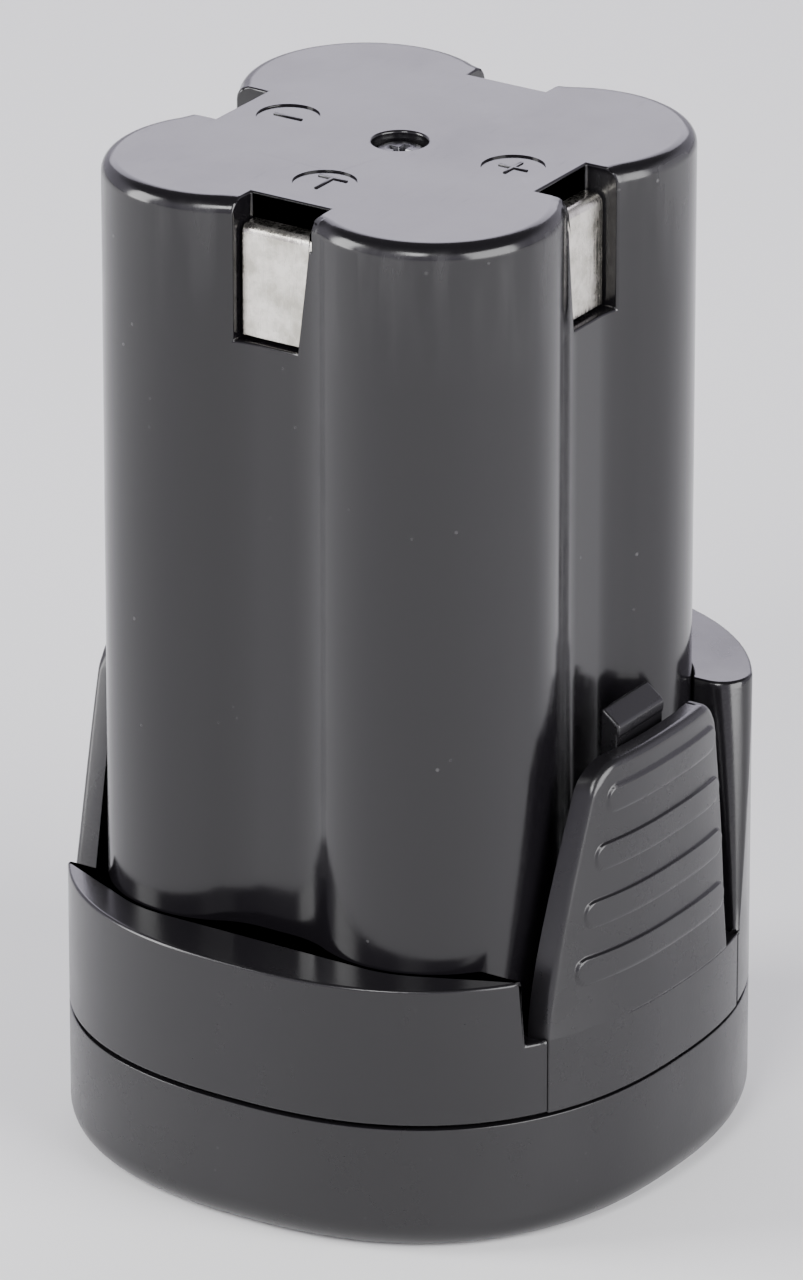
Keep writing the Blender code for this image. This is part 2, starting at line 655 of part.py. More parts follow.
def hook_body():
    """The catch: a neck behind the tongue's upper edge with a ramped nose that faces outwards."""
    inner = BASE_HALF_X - LATCH_THICKNESS
    top = LATCH_TOP
    profile = [
        (inner + SINK, top - HOOK_ROOT_DROP),
        (inner + SINK, top - HOOK_NECK),
        (inner - HOOK_DEPTH + 2 * HOOK_NECK, top - HOOK_NECK),
        (inner - HOOK_DEPTH + 2 * HOOK_NECK, top + HOOK_NOSE_RISE - HOOK_NOSE_HEIGHT),
        (inner - HOOK_NOSE_BACK, top + HOOK_NOSE_RISE - HOOK_NOSE_HEIGHT),
        (inner - HOOK_NOSE_BACK, top + HOOK_NOSE_RISE),
        (inner - HOOK_DEPTH + SINK, top + HOOK_TOP_RISE),
        (inner - HOOK_DEPTH, top + HOOK_TOP_RISE - SINK),
        (inner - HOOK_DEPTH, top - HOOK_ROOT_DROP + HOOK_DEPTH),
    ]
    hook = turned_to_y(prism("hook", [profile], -HOOK_WIDTH / 2, HOOK_WIDTH / 2))
    hook.location = (0.0, HOOK_MIDDLE_Y, 0.0)
    return hook


def make_latches():
    material = surface("latch_black_abs", (0.016, 0.016, 0.018), 0.34)
    wide = BASE_HALF_X + BEYOND
    shell = prism("latch_outside", [base_outline(0.0)], 0.0, LATCH_TOP + BEYOND)
    core = prism("latch_inside", [base_outline(LATCH_THICKNESS)], -BEYOND, LATCH_TOP + 2 * BEYOND)

    tongue = turned_to_x(prism("latch_right", [tongue_profile()], HALF_PITCH_X, wide, material))
    cut(keep_common(tongue, shell), core)
    join(tongue, hook_body(), *[grip_rib(i) for i in range(RIB_COUNT)])
    mesh = baked(tongue)
    tongue.modifiers.clear()
    for vertex in mesh.vertices:
        vertex.co.x -= LATCH_LEAN * (vertex.co.z - WELL_FLOOR)
    hinge = Vector((LATCH_HINGE_X, 0.0, WELL_FLOOR + LATCH_ROOT_GAP / 2))
    mesh.transform(Matrix.Translation(-hinge))
    tongue.data = mesh
    tongue.location = hinge

    foot = turned_to_x(prism("latch_foot_right", [foot_profile(0.0)], HALF_PITCH_X, wide, material))
    cut(keep_common(foot, shell), core)
    foot_mesh = baked(foot)
    foot.modifiers.clear()
    foot.data = foot_mesh

    for name, source in (("latch_left", tongue), ("latch_foot_left", foot)):
        other = source.data.copy()
        other.transform(Matrix.Scale(-1, 4, (1, 0, 0)))
        other.flip_normals()
        twin = place(bpy.data.objects.new(name, other), material)
        twin.location = (-source.location.x, source.location.y, source.location.z)
    for source in (tongue, foot):
        source.data.materials.clear()
        source.data.materials.append(material)


# ---------------------------------------------------------------- terminals and screws

def make_contacts():
    material = surface("terminal_nickel", (0.72, 0.70, 0.66), 0.28, 1.0)
    blade_width = 2 * (RECESS_HALF_WIDTH - GAP)
    for name, axis, sign, floor in SIDES[:3]:
        outer = floor + PLATE_STAND + PLATE_THICKNESS
        inner = outer - PLATE_TAIL
        low = RECESS_BOTTOM + GAP
        profile = [(outer, low)]
        for i in range(5):
            angle = math.pi / 8 * i
            profile.append((outer - PLATE_BEND + PLATE_BEND * math.cos(angle),
                            PLATE_TOP - PLATE_BEND + PLATE_BEND * math.sin(angle)))
        profile += [(inner, PLATE_TOP), (inner, PLATE_TOP - PLATE_THICKNESS),
                    (outer - PLATE_THICKNESS, PLATE_TOP - PLATE_THICKNESS), (outer - PLATE_THICKNESS, low)]
        plate = prism("contact_" + name, [profile], -blade_width / 2, blade_width / 2, material)
        turned_to_y(plate)
        turns = {("x", 1): 0.0, ("x", -1): math.pi, ("y", -1): -math.pi / 2}
        plate.rotation_euler = (0.0, 0.0, turns[(axis, sign)])
        plate.location = (0.0, TOWER_Y, 0.0)


def cross_recess(x, y, top, length, width, depth, under=False):
    """Two crossed slots for a driver, in a head that faces up or, with under, down."""
    low, high = (top - BEYOND, top + depth) if under else (top - depth, top + BEYOND)
    half = length / 2
    thin = width / 2
    return [box("driver_slot", (x - half, y - thin, low), (x + half, y + thin, high)),
            box("driver_slot", (x - thin, y - half, low), (x + thin, y + half, high))]


def make_screws():
    material = surface("screw_zinc", (0.20, 0.20, 0.21), 0.35, 1.0)
    top = TOWER_TOP - TOP_SCREW_SINK
    neck = top - TOP_SCREW_HEAD_HEIGHT
    tip = neck - TOP_SCREW_LENGTH
    bevel = 0.3 * MM
    profile = [(0.0, top), (TOP_SCREW_HEAD - bevel, top), (TOP_SCREW_HEAD, top - bevel),
               (TOP_SCREW_HEAD, neck), (TOP_SCREW_SHANK, neck), (TOP_SCREW_SHANK, tip + bevel),
               (TOP_SCREW_SHANK - bevel, tip), (0.0, tip)]
    screw = smooth(turned("top_screw", profile, 0.0, TOWER_Y, material))
    cut(screw, *cross_recess(0.0, TOWER_Y, top, 2.6 * MM, 0.6 * MM, 0.4 * MM))
    for number, (x, y) in enumerate(SCREW_PLACES, start=1):
        low = SCREW_SINK
        neck = low + SCREW_HEAD_HEIGHT
        tip = neck + SCREW_LENGTH
        profile = [(0.0, tip), (SCREW_SHANK - bevel, tip), (SCREW_SHANK, tip - bevel), (SCREW_SHANK, neck),
                   (SCREW_HEAD, neck), (SCREW_HEAD, low + bevel), (SCREW_HEAD - bevel, low), (0.0, low)]
        screw = smooth(turned("cap_screw_%d" % number, profile, x, y, material, steps=24))
        cut(screw, *cross_recess(x, y, low, 2.2 * MM, 0.6 * MM, 0.6 * MM, under=True))


def make_contact_block():
    material = surface("contact_block_nylon", (0.05, 0.05, 0.05), 0.55)
    low = (-BLOCK_HALF_X, TOWER_Y - BLOCK_HALF_Y, BLOCK_BOTTOM)
    high = (BLOCK_HALF_X, TOWER_Y + BLOCK_HALF_Y, CONTACT_BLOCK_TOP)
    block = round_upright_edges(box("contact_block", low, high, material), 2 * MM)
    inside = (BLOCK_WALL, BLOCK_WALL, BLOCK_WALL)
    room_low = Vector(low) + Vector(inside)
    room_high = (high[0] - BLOCK_WALL, high[1] - BLOCK_WALL, CONTACT_BLOCK_TOP + BEYOND)
    cut(block, box("contact_block_room", room_low, room_high))
    join(block, cylinder("contact_block_boss", BLOCK_BOSS, BLOCK_BOTTOM + SINK, CONTACT_BLOCK_TOP,
                         0.0, TOWER_Y))
    tip = TOWER_TOP - TOP_SCREW_SINK - TOP_SCREW_HEAD_HEIGHT - TOP_SCREW_LENGTH
    cut(block, cylinder("contact_block_pilot", TOP_SCREW_SHANK + GAP, tip - GAP, CONTACT_BLOCK_TOP + BEYOND,
                        0.0, TOWER_Y, sides=24))
    for name, axis, sign, floor in SIDES[:3]:
        reach = floor + PLATE_STAND + PLATE_THICKNESS - PLATE_TAIL - 3 * GAP
        cut(block, recess_box("tail_notch_" + name, axis, sign, reach, RECESS_HALF_WIDTH,
                              PLATE_TOP - PLATE_THICKNESS - GAP, CONTACT_BLOCK_TOP + BEYOND))
    cut(block, *[cylinder("contact_block_wire_hole", BLOCK_BOSS, BLOCK_BOTTOM - BEYOND, room_low.z + GAP,
                          side * BLOCK_HOLE_X, TOWER_Y) for side in (-1, 1)])
    return block


# ---------------------------------------------------------------- cells, straps and holders

def make_cells():
    can = surface("cell_can_sleeve", (0.10, 0.28, 0.42), 0.4)
    steel = surface("cell_cap_steel", (0.62, 0.62, 0.64), 0.3, 1.0)
    paper = surface("insulating_paper", (0.78, 0.76, 0.68), 0.8)
    edge = 0.5 * MM
    groove = 0.45 * MM
    for name, sx, sy, upright in CELL_PLACES:
        x = sx * HALF_PITCH_X
        y = TOWER_Y + sy * HALF_PITCH_Y
        if upright:
            low = CELL_LOW
            cap_low = CELL_HIGH - CELL_CAP_HEIGHT
            ring_low = cap_low
            neck = low + CELL_BODY - 3 * MM
        else:
            low = CELL_HIGH - CELL_BODY
            cap_low = CELL_LOW
            ring_low = low - GAP - RING_THICKNESS
            neck = low + 3 * MM
        high = low + CELL_BODY
        profile = [(0.0, high), (CELL_RADIUS - edge, high), (CELL_RADIUS, high - edge)]
        crimp = [(CELL_RADIUS, neck + edge), (CELL_RADIUS - groove, neck), (CELL_RADIUS, neck - edge)]
        profile += crimp + [(CELL_RADIUS, low + edge), (CELL_RADIUS - edge, low), (0.0, low)]
        smooth(turned("cell_" + name, profile, x, y, can, steps=24))
        cylinder("cell_cap_" + name, CELL_CAP_RADIUS, cap_low, cap_low + CELL_CAP_HEIGHT,
                 x, y, steel, sides=20)
        prism("cell_ring_" + name, [circle(RING_OUTER, x, y, 20), circle(RING_INNER, x, y, 20)],
              ring_low, ring_low + RING_THICKNESS, paper)


def make_straps():
    material = surface("strap_nickel", (0.66, 0.65, 0.60), 0.35, 1.0)
    long_y = CELL_PITCH_Y + 2 * STRAP_OVERHANG
    long_x = CELL_PITCH_X + 2 * STRAP_OVERHANG
    tab = STRAP_WIDTH + 2 * STRAP_OVERHANG
    layout = (
        ("strap_bottom_left", stadium(long_y, STRAP_WIDTH, -HALF_PITCH_X, TOWER_Y, along_y=True),
         LOWER_STRAP),
        ("strap_bottom_right", stadium(long_y, STRAP_WIDTH, HALF_PITCH_X, TOWER_Y, along_y=True),
         LOWER_STRAP),
        ("strap_top_back", stadium(long_x, STRAP_WIDTH, 0.0, TOWER_Y + HALF_PITCH_Y), UPPER_STRAP),
        ("end_tab_minus", stadium(tab, STRAP_WIDTH, -HALF_PITCH_X + STRAP_OVERHANG, TOWER_Y - HALF_PITCH_Y),
         UPPER_STRAP),
        ("end_tab_plus", stadium(tab, STRAP_WIDTH, HALF_PITCH_X - STRAP_OVERHANG, TOWER_Y - HALF_PITCH_Y),
         UPPER_STRAP),
    )
    for name, outline, low in layout:
        prism(name, [outline], low, low + STRAP_THICKNESS, material)


def holder_posts(low, high):
    places = ((HOLDER_POST_X, 0.0), (-HOLDER_POST_X, 0.0), (0.0, HOLDER_POST_Y), (0.0, -HOLDER_POST_Y))
    return [cylinder("holder_post", HOLDER_POST, low, high, x, TOWER_Y + y, sides=16) for x, y in places]


def make_holders():
    material = surface("holder_abs", (0.03, 0.03, 0.032), 0.6)
    hole = circle(WIRE_HOLE, 0.0, TOWER_Y, 24)
    lower = prism("lower_cell_holder", [lobed_outline(HOLDER_LIP), hole],
                  LOWER_PLATE_BOTTOM, LOWER_PLATE_TOP, material)
    keep_common(lower, prism("holder_limit", [base_outline(CAP_WALL + GAP)], CAP_FLOOR, COLLAR_TOP))
    cut(lower, *[cylinder("holder_boss_way", CAP_BOSS_RADIUS + GAP, CAP_FLOOR, COLLAR_TOP, x, y)
                 for x, y in SCREW_PLACES])
    join(lower, *holder_posts(LOWER_PLATE_TOP - SINK, LOWER_PLATE_TOP + HOLDER_POST_LENGTH))
    upper = prism("upper_cell_holder", [lobed_outline(-TOWER_WALL - GAP), hole],
                  UPPER_PLATE_BOTTOM, UPPER_PLATE_TOP, material)
    cut(upper, *[recess_box("holder_notch_" + name, axis, sign, floor - RECESS_WALL - GAP,
                            RECESS_HALF_WIDTH + RECESS_WALL + GAP, UPPER_PLATE_BOTTOM - BEYOND, TOWER_TOP)
                 for name, axis, sign, floor in SIDES])
    return lower, upper


# ---------------------------------------------------------------- board, foam and wires

def make_board():
    green = surface("board_fr4", (0.02, 0.16, 0.07), 0.45)
    black = surface("chip_epoxy", (0.02, 0.02, 0.02), 0.5)
    low = BOARD_TOP - BOARD_THICKNESS
    board = box("protection_board", (-BOARD_HALF_X, TOWER_Y - BOARD_HALF_Y, low),
                (BOARD_HALF_X, TOWER_Y + BOARD_HALF_Y, BOARD_TOP), green)
    round_upright_edges(board, 1.5 * MM, 2)
    seat = BOARD_TOP + GAP
    chips = (("control_chip", 0.0, 9.0, 7.0, 5.0, 1.5), ("power_switch_left", -8.0, -8.0, 6.0, 5.0, 1.6),
             ("power_switch_right", 8.0, -8.0, 6.0, 5.0, 1.6), ("fuse", 0.0, -10.0, 4.0, 3.0, 1.8))
    for name, x, y, width, depth, height in chips:
        box(name, (x * MM - width * MM / 2, TOWER_Y + y * MM - depth * MM / 2, seat),
            (x * MM + width * MM / 2, TOWER_Y + y * MM + depth * MM / 2, seat + height * MM), black)
    foam = surface("foam_grey", (0.10, 0.10, 0.11), 0.95)
    pad = box("foam_pad", (-FOAM_HALF, TOWER_Y - FOAM_HALF, CAP_FLOOR + GAP),
              (FOAM_HALF, TOWER_Y + FOAM_HALF, low - GAP), foam)
    round_upright_edges(pad, 2 * MM, 2)


def channel_point(position, z):
    """A place in the channel between the four cells: six wires stand round its middle."""
    angle = math.pi / 3 * position
    return (WIRE_CIRCLE * math.cos(angle), TOWER_Y + WIRE_CIRCLE * math.sin(angle), z)


def make_wires():
    red = surface("wire_red", (0.55, 0.02, 0.02), 0.45)
    black = surface("wire_black", (0.02, 0.02, 0.02), 0.45)
    white = surface("wire_white", (0.75, 0.75, 0.72), 0.45)
    start = BOARD_TOP + GAP
    exit_level = CELL_HIGH - 4 * MM
    tail_level = PLATE_TOP - PLATE_THICKNESS - 2 * WIRE_RADIUS
    tail_end = RECESS_FLOOR_X + PLATE_STAND + PLATE_THICKNESS - PLATE_TAIL - 1.9 * MM
    bends = ((WIRE_CIRCLE + 0.6 * MM, UPPER_PLATE_TOP),
             (BLOCK_HOLE_X - 0.9 * MM, BLOCK_BOTTOM + BLOCK_WALL + GAP),
             (BLOCK_HOLE_X + 1.6 * MM, tail_level - 2.5 * MM), (tail_end, tail_level))

    def riser(position, top):
        return [channel_point(position, z) for z in (start, (start + top) / 2, top)]

    power_wires = (("wire_pack_plus", 0, 1, red), ("wire_pack_minus", 3, -1, black))
    for name, position, side, material in power_wires:
        climb = [(side * x, TOWER_Y, z) for x, z in bends]
        tube(name, riser(position, exit_level) + climb, WIRE_RADIUS, material)
    for name, position, material in (("wire_cell_plus", 5, red), ("wire_cell_minus", 4, black)):
        tube(name, riser(position, CELL_HIGH - GAP), WIRE_RADIUS, material)
    bead = channel_point(1.5, THERMISTOR_Z)
    mesh = bpy.data.meshes.new("thermistor")
    work = bmesh.new()
    bmesh.ops.create_uvsphere(work, u_segments=12, v_segments=8, radius=1.2 * MM)
    bmesh.ops.scale(work, vec=(1, 1, 1.6), verts=work.verts)
    work.to_mesh(mesh)
    work.free()
    epoxy = surface("thermistor_epoxy", (0.05, 0.05, 0.06), 0.4)
    obj = place(bpy.data.objects.new("thermistor", mesh), epoxy)
    obj.location = bead
    smooth(obj)
    for name, offset in (("thermistor_lead_a", -0.7 * MM), ("thermistor_lead_b", 0.7 * MM)):
        top = THERMISTOR_Z - 1.92 * MM - GAP
        tube(name, [(bead[0] + offset, bead[1], start), (bead[0] + offset, bead[1], top / 2),
                    (bead[0] + offset, bead[1], top)], 0.35 * MM, white)


def main():
    global parts, cutters
    for obj in list(bpy.data.objects):
        bpy.data.objects.remove(obj)
    parts = new_collection("slide_in_battery_pack")
    cutters = new_collection("cutters")
    make_cap()
    make_collar()
    make_tower()
    make_latches()
    make_contacts()
    make_screws()
    make_contact_block()
    make_cells()
    make_straps()
    make_holders()
    make_board()
    make_wires()


main()
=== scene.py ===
import math

import bmesh
import bpy
from mathutils import Matrix, Vector


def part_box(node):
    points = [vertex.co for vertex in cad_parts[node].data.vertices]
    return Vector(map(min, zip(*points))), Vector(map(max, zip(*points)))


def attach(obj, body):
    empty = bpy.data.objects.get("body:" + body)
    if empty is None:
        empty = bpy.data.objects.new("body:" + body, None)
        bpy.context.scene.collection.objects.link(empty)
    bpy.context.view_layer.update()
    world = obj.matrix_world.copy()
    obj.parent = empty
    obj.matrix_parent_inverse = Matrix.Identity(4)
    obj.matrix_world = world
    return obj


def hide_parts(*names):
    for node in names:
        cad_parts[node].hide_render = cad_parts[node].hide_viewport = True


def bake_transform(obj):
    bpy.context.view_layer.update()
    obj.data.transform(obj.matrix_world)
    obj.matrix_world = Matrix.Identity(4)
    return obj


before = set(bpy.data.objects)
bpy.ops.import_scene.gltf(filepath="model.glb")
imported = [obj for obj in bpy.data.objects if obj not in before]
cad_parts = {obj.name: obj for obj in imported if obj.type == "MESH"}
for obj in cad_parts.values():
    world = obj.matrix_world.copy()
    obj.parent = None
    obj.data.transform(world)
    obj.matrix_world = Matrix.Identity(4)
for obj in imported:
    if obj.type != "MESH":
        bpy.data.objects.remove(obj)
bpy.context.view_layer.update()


# ---------------------------------------------------------------- cells
# Four round lithium cells stand in the tower, two of them head down. Each is a steel can in a
# shrunk PVC sleeve, with a pressed paper ring round its positive cap.

def new_finish(name, colour, roughness, metallic=0.0):
    """A finish to build on: its shader, and a function that adds a node to it."""
    finish = bpy.data.materials.new(name)
    finish.use_nodes = True
    tree = finish.node_tree
    shader = tree.nodes["Principled BSDF"]
    shader.inputs["Base Color"].default_value = (*colour, 1.0)
    shader.inputs["Roughness"].default_value = roughness
    shader.inputs["Metallic"].default_value = metallic

    def node(kind, links=(), **settings):
        made = tree.nodes.new(kind)
        for key, value in settings.items():
            if hasattr(made, key):
                setattr(made, key, value)
            else:
                made.inputs[key.replace("_", " ")].default_value = value
        for socket, source in links:
            tree.links.new(source, made.inputs[socket])
        return made

    return finish, shader, node, tree.links


def spread(node, value, low, high, low_out, high_out):
    """Map a texture's value from one range to another, held at both ends."""
    links = (("Value", value),)
    mapped = node("ShaderNodeMapRange", links)
    for key, number in (("From Min", low), ("From Max", high), ("To Min", low_out), ("To Max", high_out)):
        mapped.inputs[key].default_value = number
    return mapped.outputs["Result"]


def shaded(node, links, shader, dark, light, value):
    """Blend the surface colour between two shades by a value."""
    mix = node("ShaderNodeMix", (("Factor", value),), data_type="RGBA")
    mix.inputs["A"].default_value = (*dark, 1.0)
    mix.inputs["B"].default_value = (*light, 1.0)
    links.new(mix.outputs["Result"], shader.inputs["Base Color"])
    return mix


def relief(node, links, shader, height, depth, strength=1.0):
    """Raise the surface a little by a height value; depth is in metres."""
    bump = node("ShaderNodeBump", (("Height", height),), Strength=strength, Distance=depth)
    links.new(bump.outputs["Normal"], shader.inputs["Normal"])


def shrink_sleeve():
    """Blue PVC sleeve, drawn tight, with faint ripples round the can."""
    finish, shader, node, links = new_finish("shrink_sleeve", (0.03, 0.16, 0.34), 0.32)
    place = node("ShaderNodeTexCoord")
    ripples = node("ShaderNodeTexNoise", (("Vector", place.outputs["Object"]),), Scale=420.0, Detail=4.0)
    links.new(spread(node, ripples.outputs["Fac"], 0.35, 0.7, 0.26, 0.42), shader.inputs["Roughness"])
    shaded(node, links, shader, (0.025, 0.13, 0.30), (0.035, 0.19, 0.38), ripples.outputs["Fac"])
    relief(node, links, shader, ripples.outputs["Fac"], 0.00003, 0.5)
    return finish


def rolled_metal(name, colour, roughness, along):
    """Rolled or drawn sheet: fine lines along one direction and a few dull spots."""
    finish, shader, node, links = new_finish(name, colour, roughness, 1.0)
    place = node("ShaderNodeTexCoord")
    stretch = node("ShaderNodeMapping", (("Vector", place.outputs["Object"]),))
    stretch.inputs["Scale"].default_value = along
    lines = node("ShaderNodeTexNoise", (("Vector", stretch.outputs["Vector"]),), Scale=1.0, Detail=6.0)
    spots = node("ShaderNodeTexNoise", (("Vector", place.outputs["Object"]),), Scale=300.0, Detail=3.0)
    dull = tuple(0.78 * part for part in colour)
    shaded(node, links, shader, dull, colour, spread(node, spots.outputs["Fac"], 0.35, 0.55, 0.0, 1.0))
    rough = spread(node, lines.outputs["Fac"], 0.3, 0.7, 0.7 * roughness, 1.4 * roughness)
    links.new(rough, shader.inputs["Roughness"])
    relief(node, links, shader, lines.outputs["Fac"], 0.00002, 0.35)
    return finish


def pressed_paper():
    finish, shader, node, links = new_finish("pressed_paper", (0.74, 0.71, 0.62), 0.85)
    place = node("ShaderNodeTexCoord")
    fibres = node("ShaderNodeTexNoise", (("Vector", place.outputs["Object"]),), Scale=1500.0, Detail=5.0)
    shaded(node, links, shader, (0.60, 0.57, 0.48), (0.80, 0.77, 0.69), fibres.outputs["Fac"])
    relief(node, links, shader, fibres.outputs["Fac"], 0.00004, 0.6)
    return finish


def dress(finish, slot, *nodes):
    """Give a finish to pieces that keep the shape they were cut to."""
    for name in nodes:
        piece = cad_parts[name]
        piece.data.materials.clear()
        piece.data.materials.append(finish)


cell_places = ("front_left", "front_right", "back_right", "back_left")
can_steel = rolled_metal("can_steel", (0.62, 0.62, 0.64), 0.26, (300.0, 300.0, 4000.0))
dress(shrink_sleeve(), "cell_sleeve", *["cell_" + place for place in cell_places])
dress(can_steel, "cell_steel", *["cell_cap_" + place for place in cell_places])
dress(pressed_paper(), "insulating_paper", *["cell_ring_" + place for place in cell_places])


# ---------------------------------------------------------------- straps and cell holders
# Nickel strip, spot welded to the cell ends, puts the four cells in series. A plate above and a
# plate below, moulded in matt ABS, keep them in place.

def matt_moulding(name, colour, roughness=0.6):
    """Spark-eroded mould texture: fine even grain, a little uneven in gloss."""
    finish, shader, node, links = new_finish(name, colour, roughness)
    place = node("ShaderNodeTexCoord")
    grain = node("ShaderNodeTexNoise", (("Vector", place.outputs["Object"]),), Scale=2600.0, Detail=3.0)
    cloud = node("ShaderNodeTexNoise", (("Vector", place.outputs["Object"]),), Scale=120.0, Detail=3.0)
    light = tuple(1.35 * part + 0.004 for part in colour)
    shaded(node, links, shader, colour, light, cloud.outputs["Fac"])
    rough = spread(node, cloud.outputs["Fac"], 0.3, 0.7, roughness - 0.08, roughness + 0.1)
    links.new(rough, shader.inputs["Roughness"])
    relief(node, links, shader, grain.outputs["Fac"], 0.00004, 0.5)
    return finish


strip_nickel = rolled_metal("strip_nickel", (0.66, 0.65, 0.60), 0.30, (2500.0, 250.0, 250.0))
dress(strip_nickel, "strap_nickel", "strap_bottom_left", "strap_bottom_right", "strap_top_back",
      "end_tab_minus", "end_tab_plus")
dress(matt_moulding("holder_abs", (0.03, 0.03, 0.032)), "holder_abs",
      "lower_cell_holder", "upper_cell_holder")


# ---------------------------------------------------------------- board, wires and pad
# A green glass-epoxy board under the cells carries the controller, two power switches and a fuse.
# A foam pad keeps it off the cap, and leads run up between the cells to the contact block.

def solder_mask():
    finish, shader, node, links = new_finish("solder_mask", (0.01, 0.12, 0.05), 0.35)
    place = node("ShaderNodeTexCoord")
    tracks = node("ShaderNodeTexVoronoi", (("Vector", place.outputs["Object"]),), Scale=420.0,
                  distance="MANHATTAN", feature="F1")
    value = spread(node, tracks.outputs["Distance"], 0.25, 0.4, 0.0, 1.0)
    shaded(node, links, shader, (0.015, 0.17, 0.07), (0.008, 0.10, 0.04), value)
    relief(node, links, shader, value, 0.00003, 0.6)
    return finish


def foam():
    finish, shader, node, links = new_finish("foam", (0.10, 0.10, 0.11), 0.95)
    place = node("ShaderNodeTexCoord")
    pores = node("ShaderNodeTexVoronoi", (("Vector", place.outputs["Object"]),), Scale=2200.0)
    value = spread(node, pores.outputs["Distance"], 0.1, 0.6, 0.0, 1.0)
    shaded(node, links, shader, (0.03, 0.03, 0.035), (0.13, 0.13, 0.14), value)
    relief(node, links, shader, value, 0.0002, 0.9)
    return finish


def wire_skin(name, colour):
    finish, shader, node, links = new_finish(name, colour, 0.4)
    place = node("ShaderNodeTexCoord")
    skin = node("ShaderNodeTexNoise", (("Vector", place.outputs["Object"]),), Scale=900.0, Detail=3.0)
    dark = tuple(0.8 * part for part in colour)
    shaded(node, links, shader, dark, colour, skin.outputs["Fac"])
    links.new(spread(node, skin.outputs["Fac"], 0.3, 0.7, 0.32, 0.5), shader.inputs["Roughness"])
    relief(node, links, shader, skin.outputs["Fac"], 0.00003, 0.4)
    return finish


dress(solder_mask(), "board_fr4", "protection_board")
dress(matt_moulding("chip_epoxy", (0.015, 0.015, 0.016), 0.5), "chip_epoxy", "control_chip",
      "power_switch_left", "power_switch_right", "fuse", "thermistor")
dress(foam(), "foam", "foam_pad")
dress(wire_skin("wire_red", (0.50, 0.015, 0.015)), "wire_red", "wire_cell_plus", "wire_pack_plus")
dress(wire_skin("wire_black", (0.02, 0.02, 0.02)), "wire_black", "wire_cell_minus", "wire_pack_minus")
dress(wire_skin("wire_white", (0.70, 0.70, 0.67)), "wire_white", "thermistor_lead_a", "thermistor_lead_b")
dress(matt_moulding("contact_block_nylon", (0.04, 0.04, 0.04), 0.55), "block_nylon", "contact_block")


# ---------------------------------------------------------------- tower housing
# The four-lobed tower is one glossy black ABS moulding that holds the cells. Four flat strips run
# between its lobes, each with a recess at the top, and its roof carries the polarity marks.

MM = 0.001
TOWER_AXIS = -1.6 * MM
TOWER_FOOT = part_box("tower_housing")[0].z
TOWER_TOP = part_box("tower_housing")[1].z
LOBE_RADIUS = 11.1 * MM
LOBE_X = 10.4 * MM
LOBE_Y = 10.65 * MM
STRIP_HALF = 3.9 * MM
LOBE_STEPS = 56
STRIP_X = LOBE_X + math.sqrt(LOBE_RADIUS ** 2 - (LOBE_Y - STRIP_HALF) ** 2)
STRIP_Y = LOBE_Y + math.sqrt(LOBE_RADIUS ** 2 - (LOBE_X - STRIP_HALF) ** 2)
TOWER_WALL = 1.6 * MM
TOWER_ROOF = 2.0 * MM
TOWER_EDGE = 1.4 * MM
STRIP_SOFT = 2.2 * MM
RECESS_HALF = 4.0 * MM
PLATE_OUT = 1.9 * MM
RECESS_HEIGHT = 12.7 * MM
RECESS_SIDES = ((1, 0, 16.35 * MM), (-1, 0, 16.35 * MM), (0, -1, 17.1 * MM), (0, 1, 17.1 * MM))
MARK_RADIUS = 2.8 * MM
MARK_DEPTH = 0.16 * MM
MARK_X = 11.5 * MM
MARK_Y = 11.8 * MM
LIP_LEAN = 1.7 * MM
LIP_LAP = 0.1 * MM
SEAT_RADIUS = 2.45 * MM
SEAT_DEPTH = 2.1 * MM
FAR = 30 * MM
PAST = 2.0 * MM


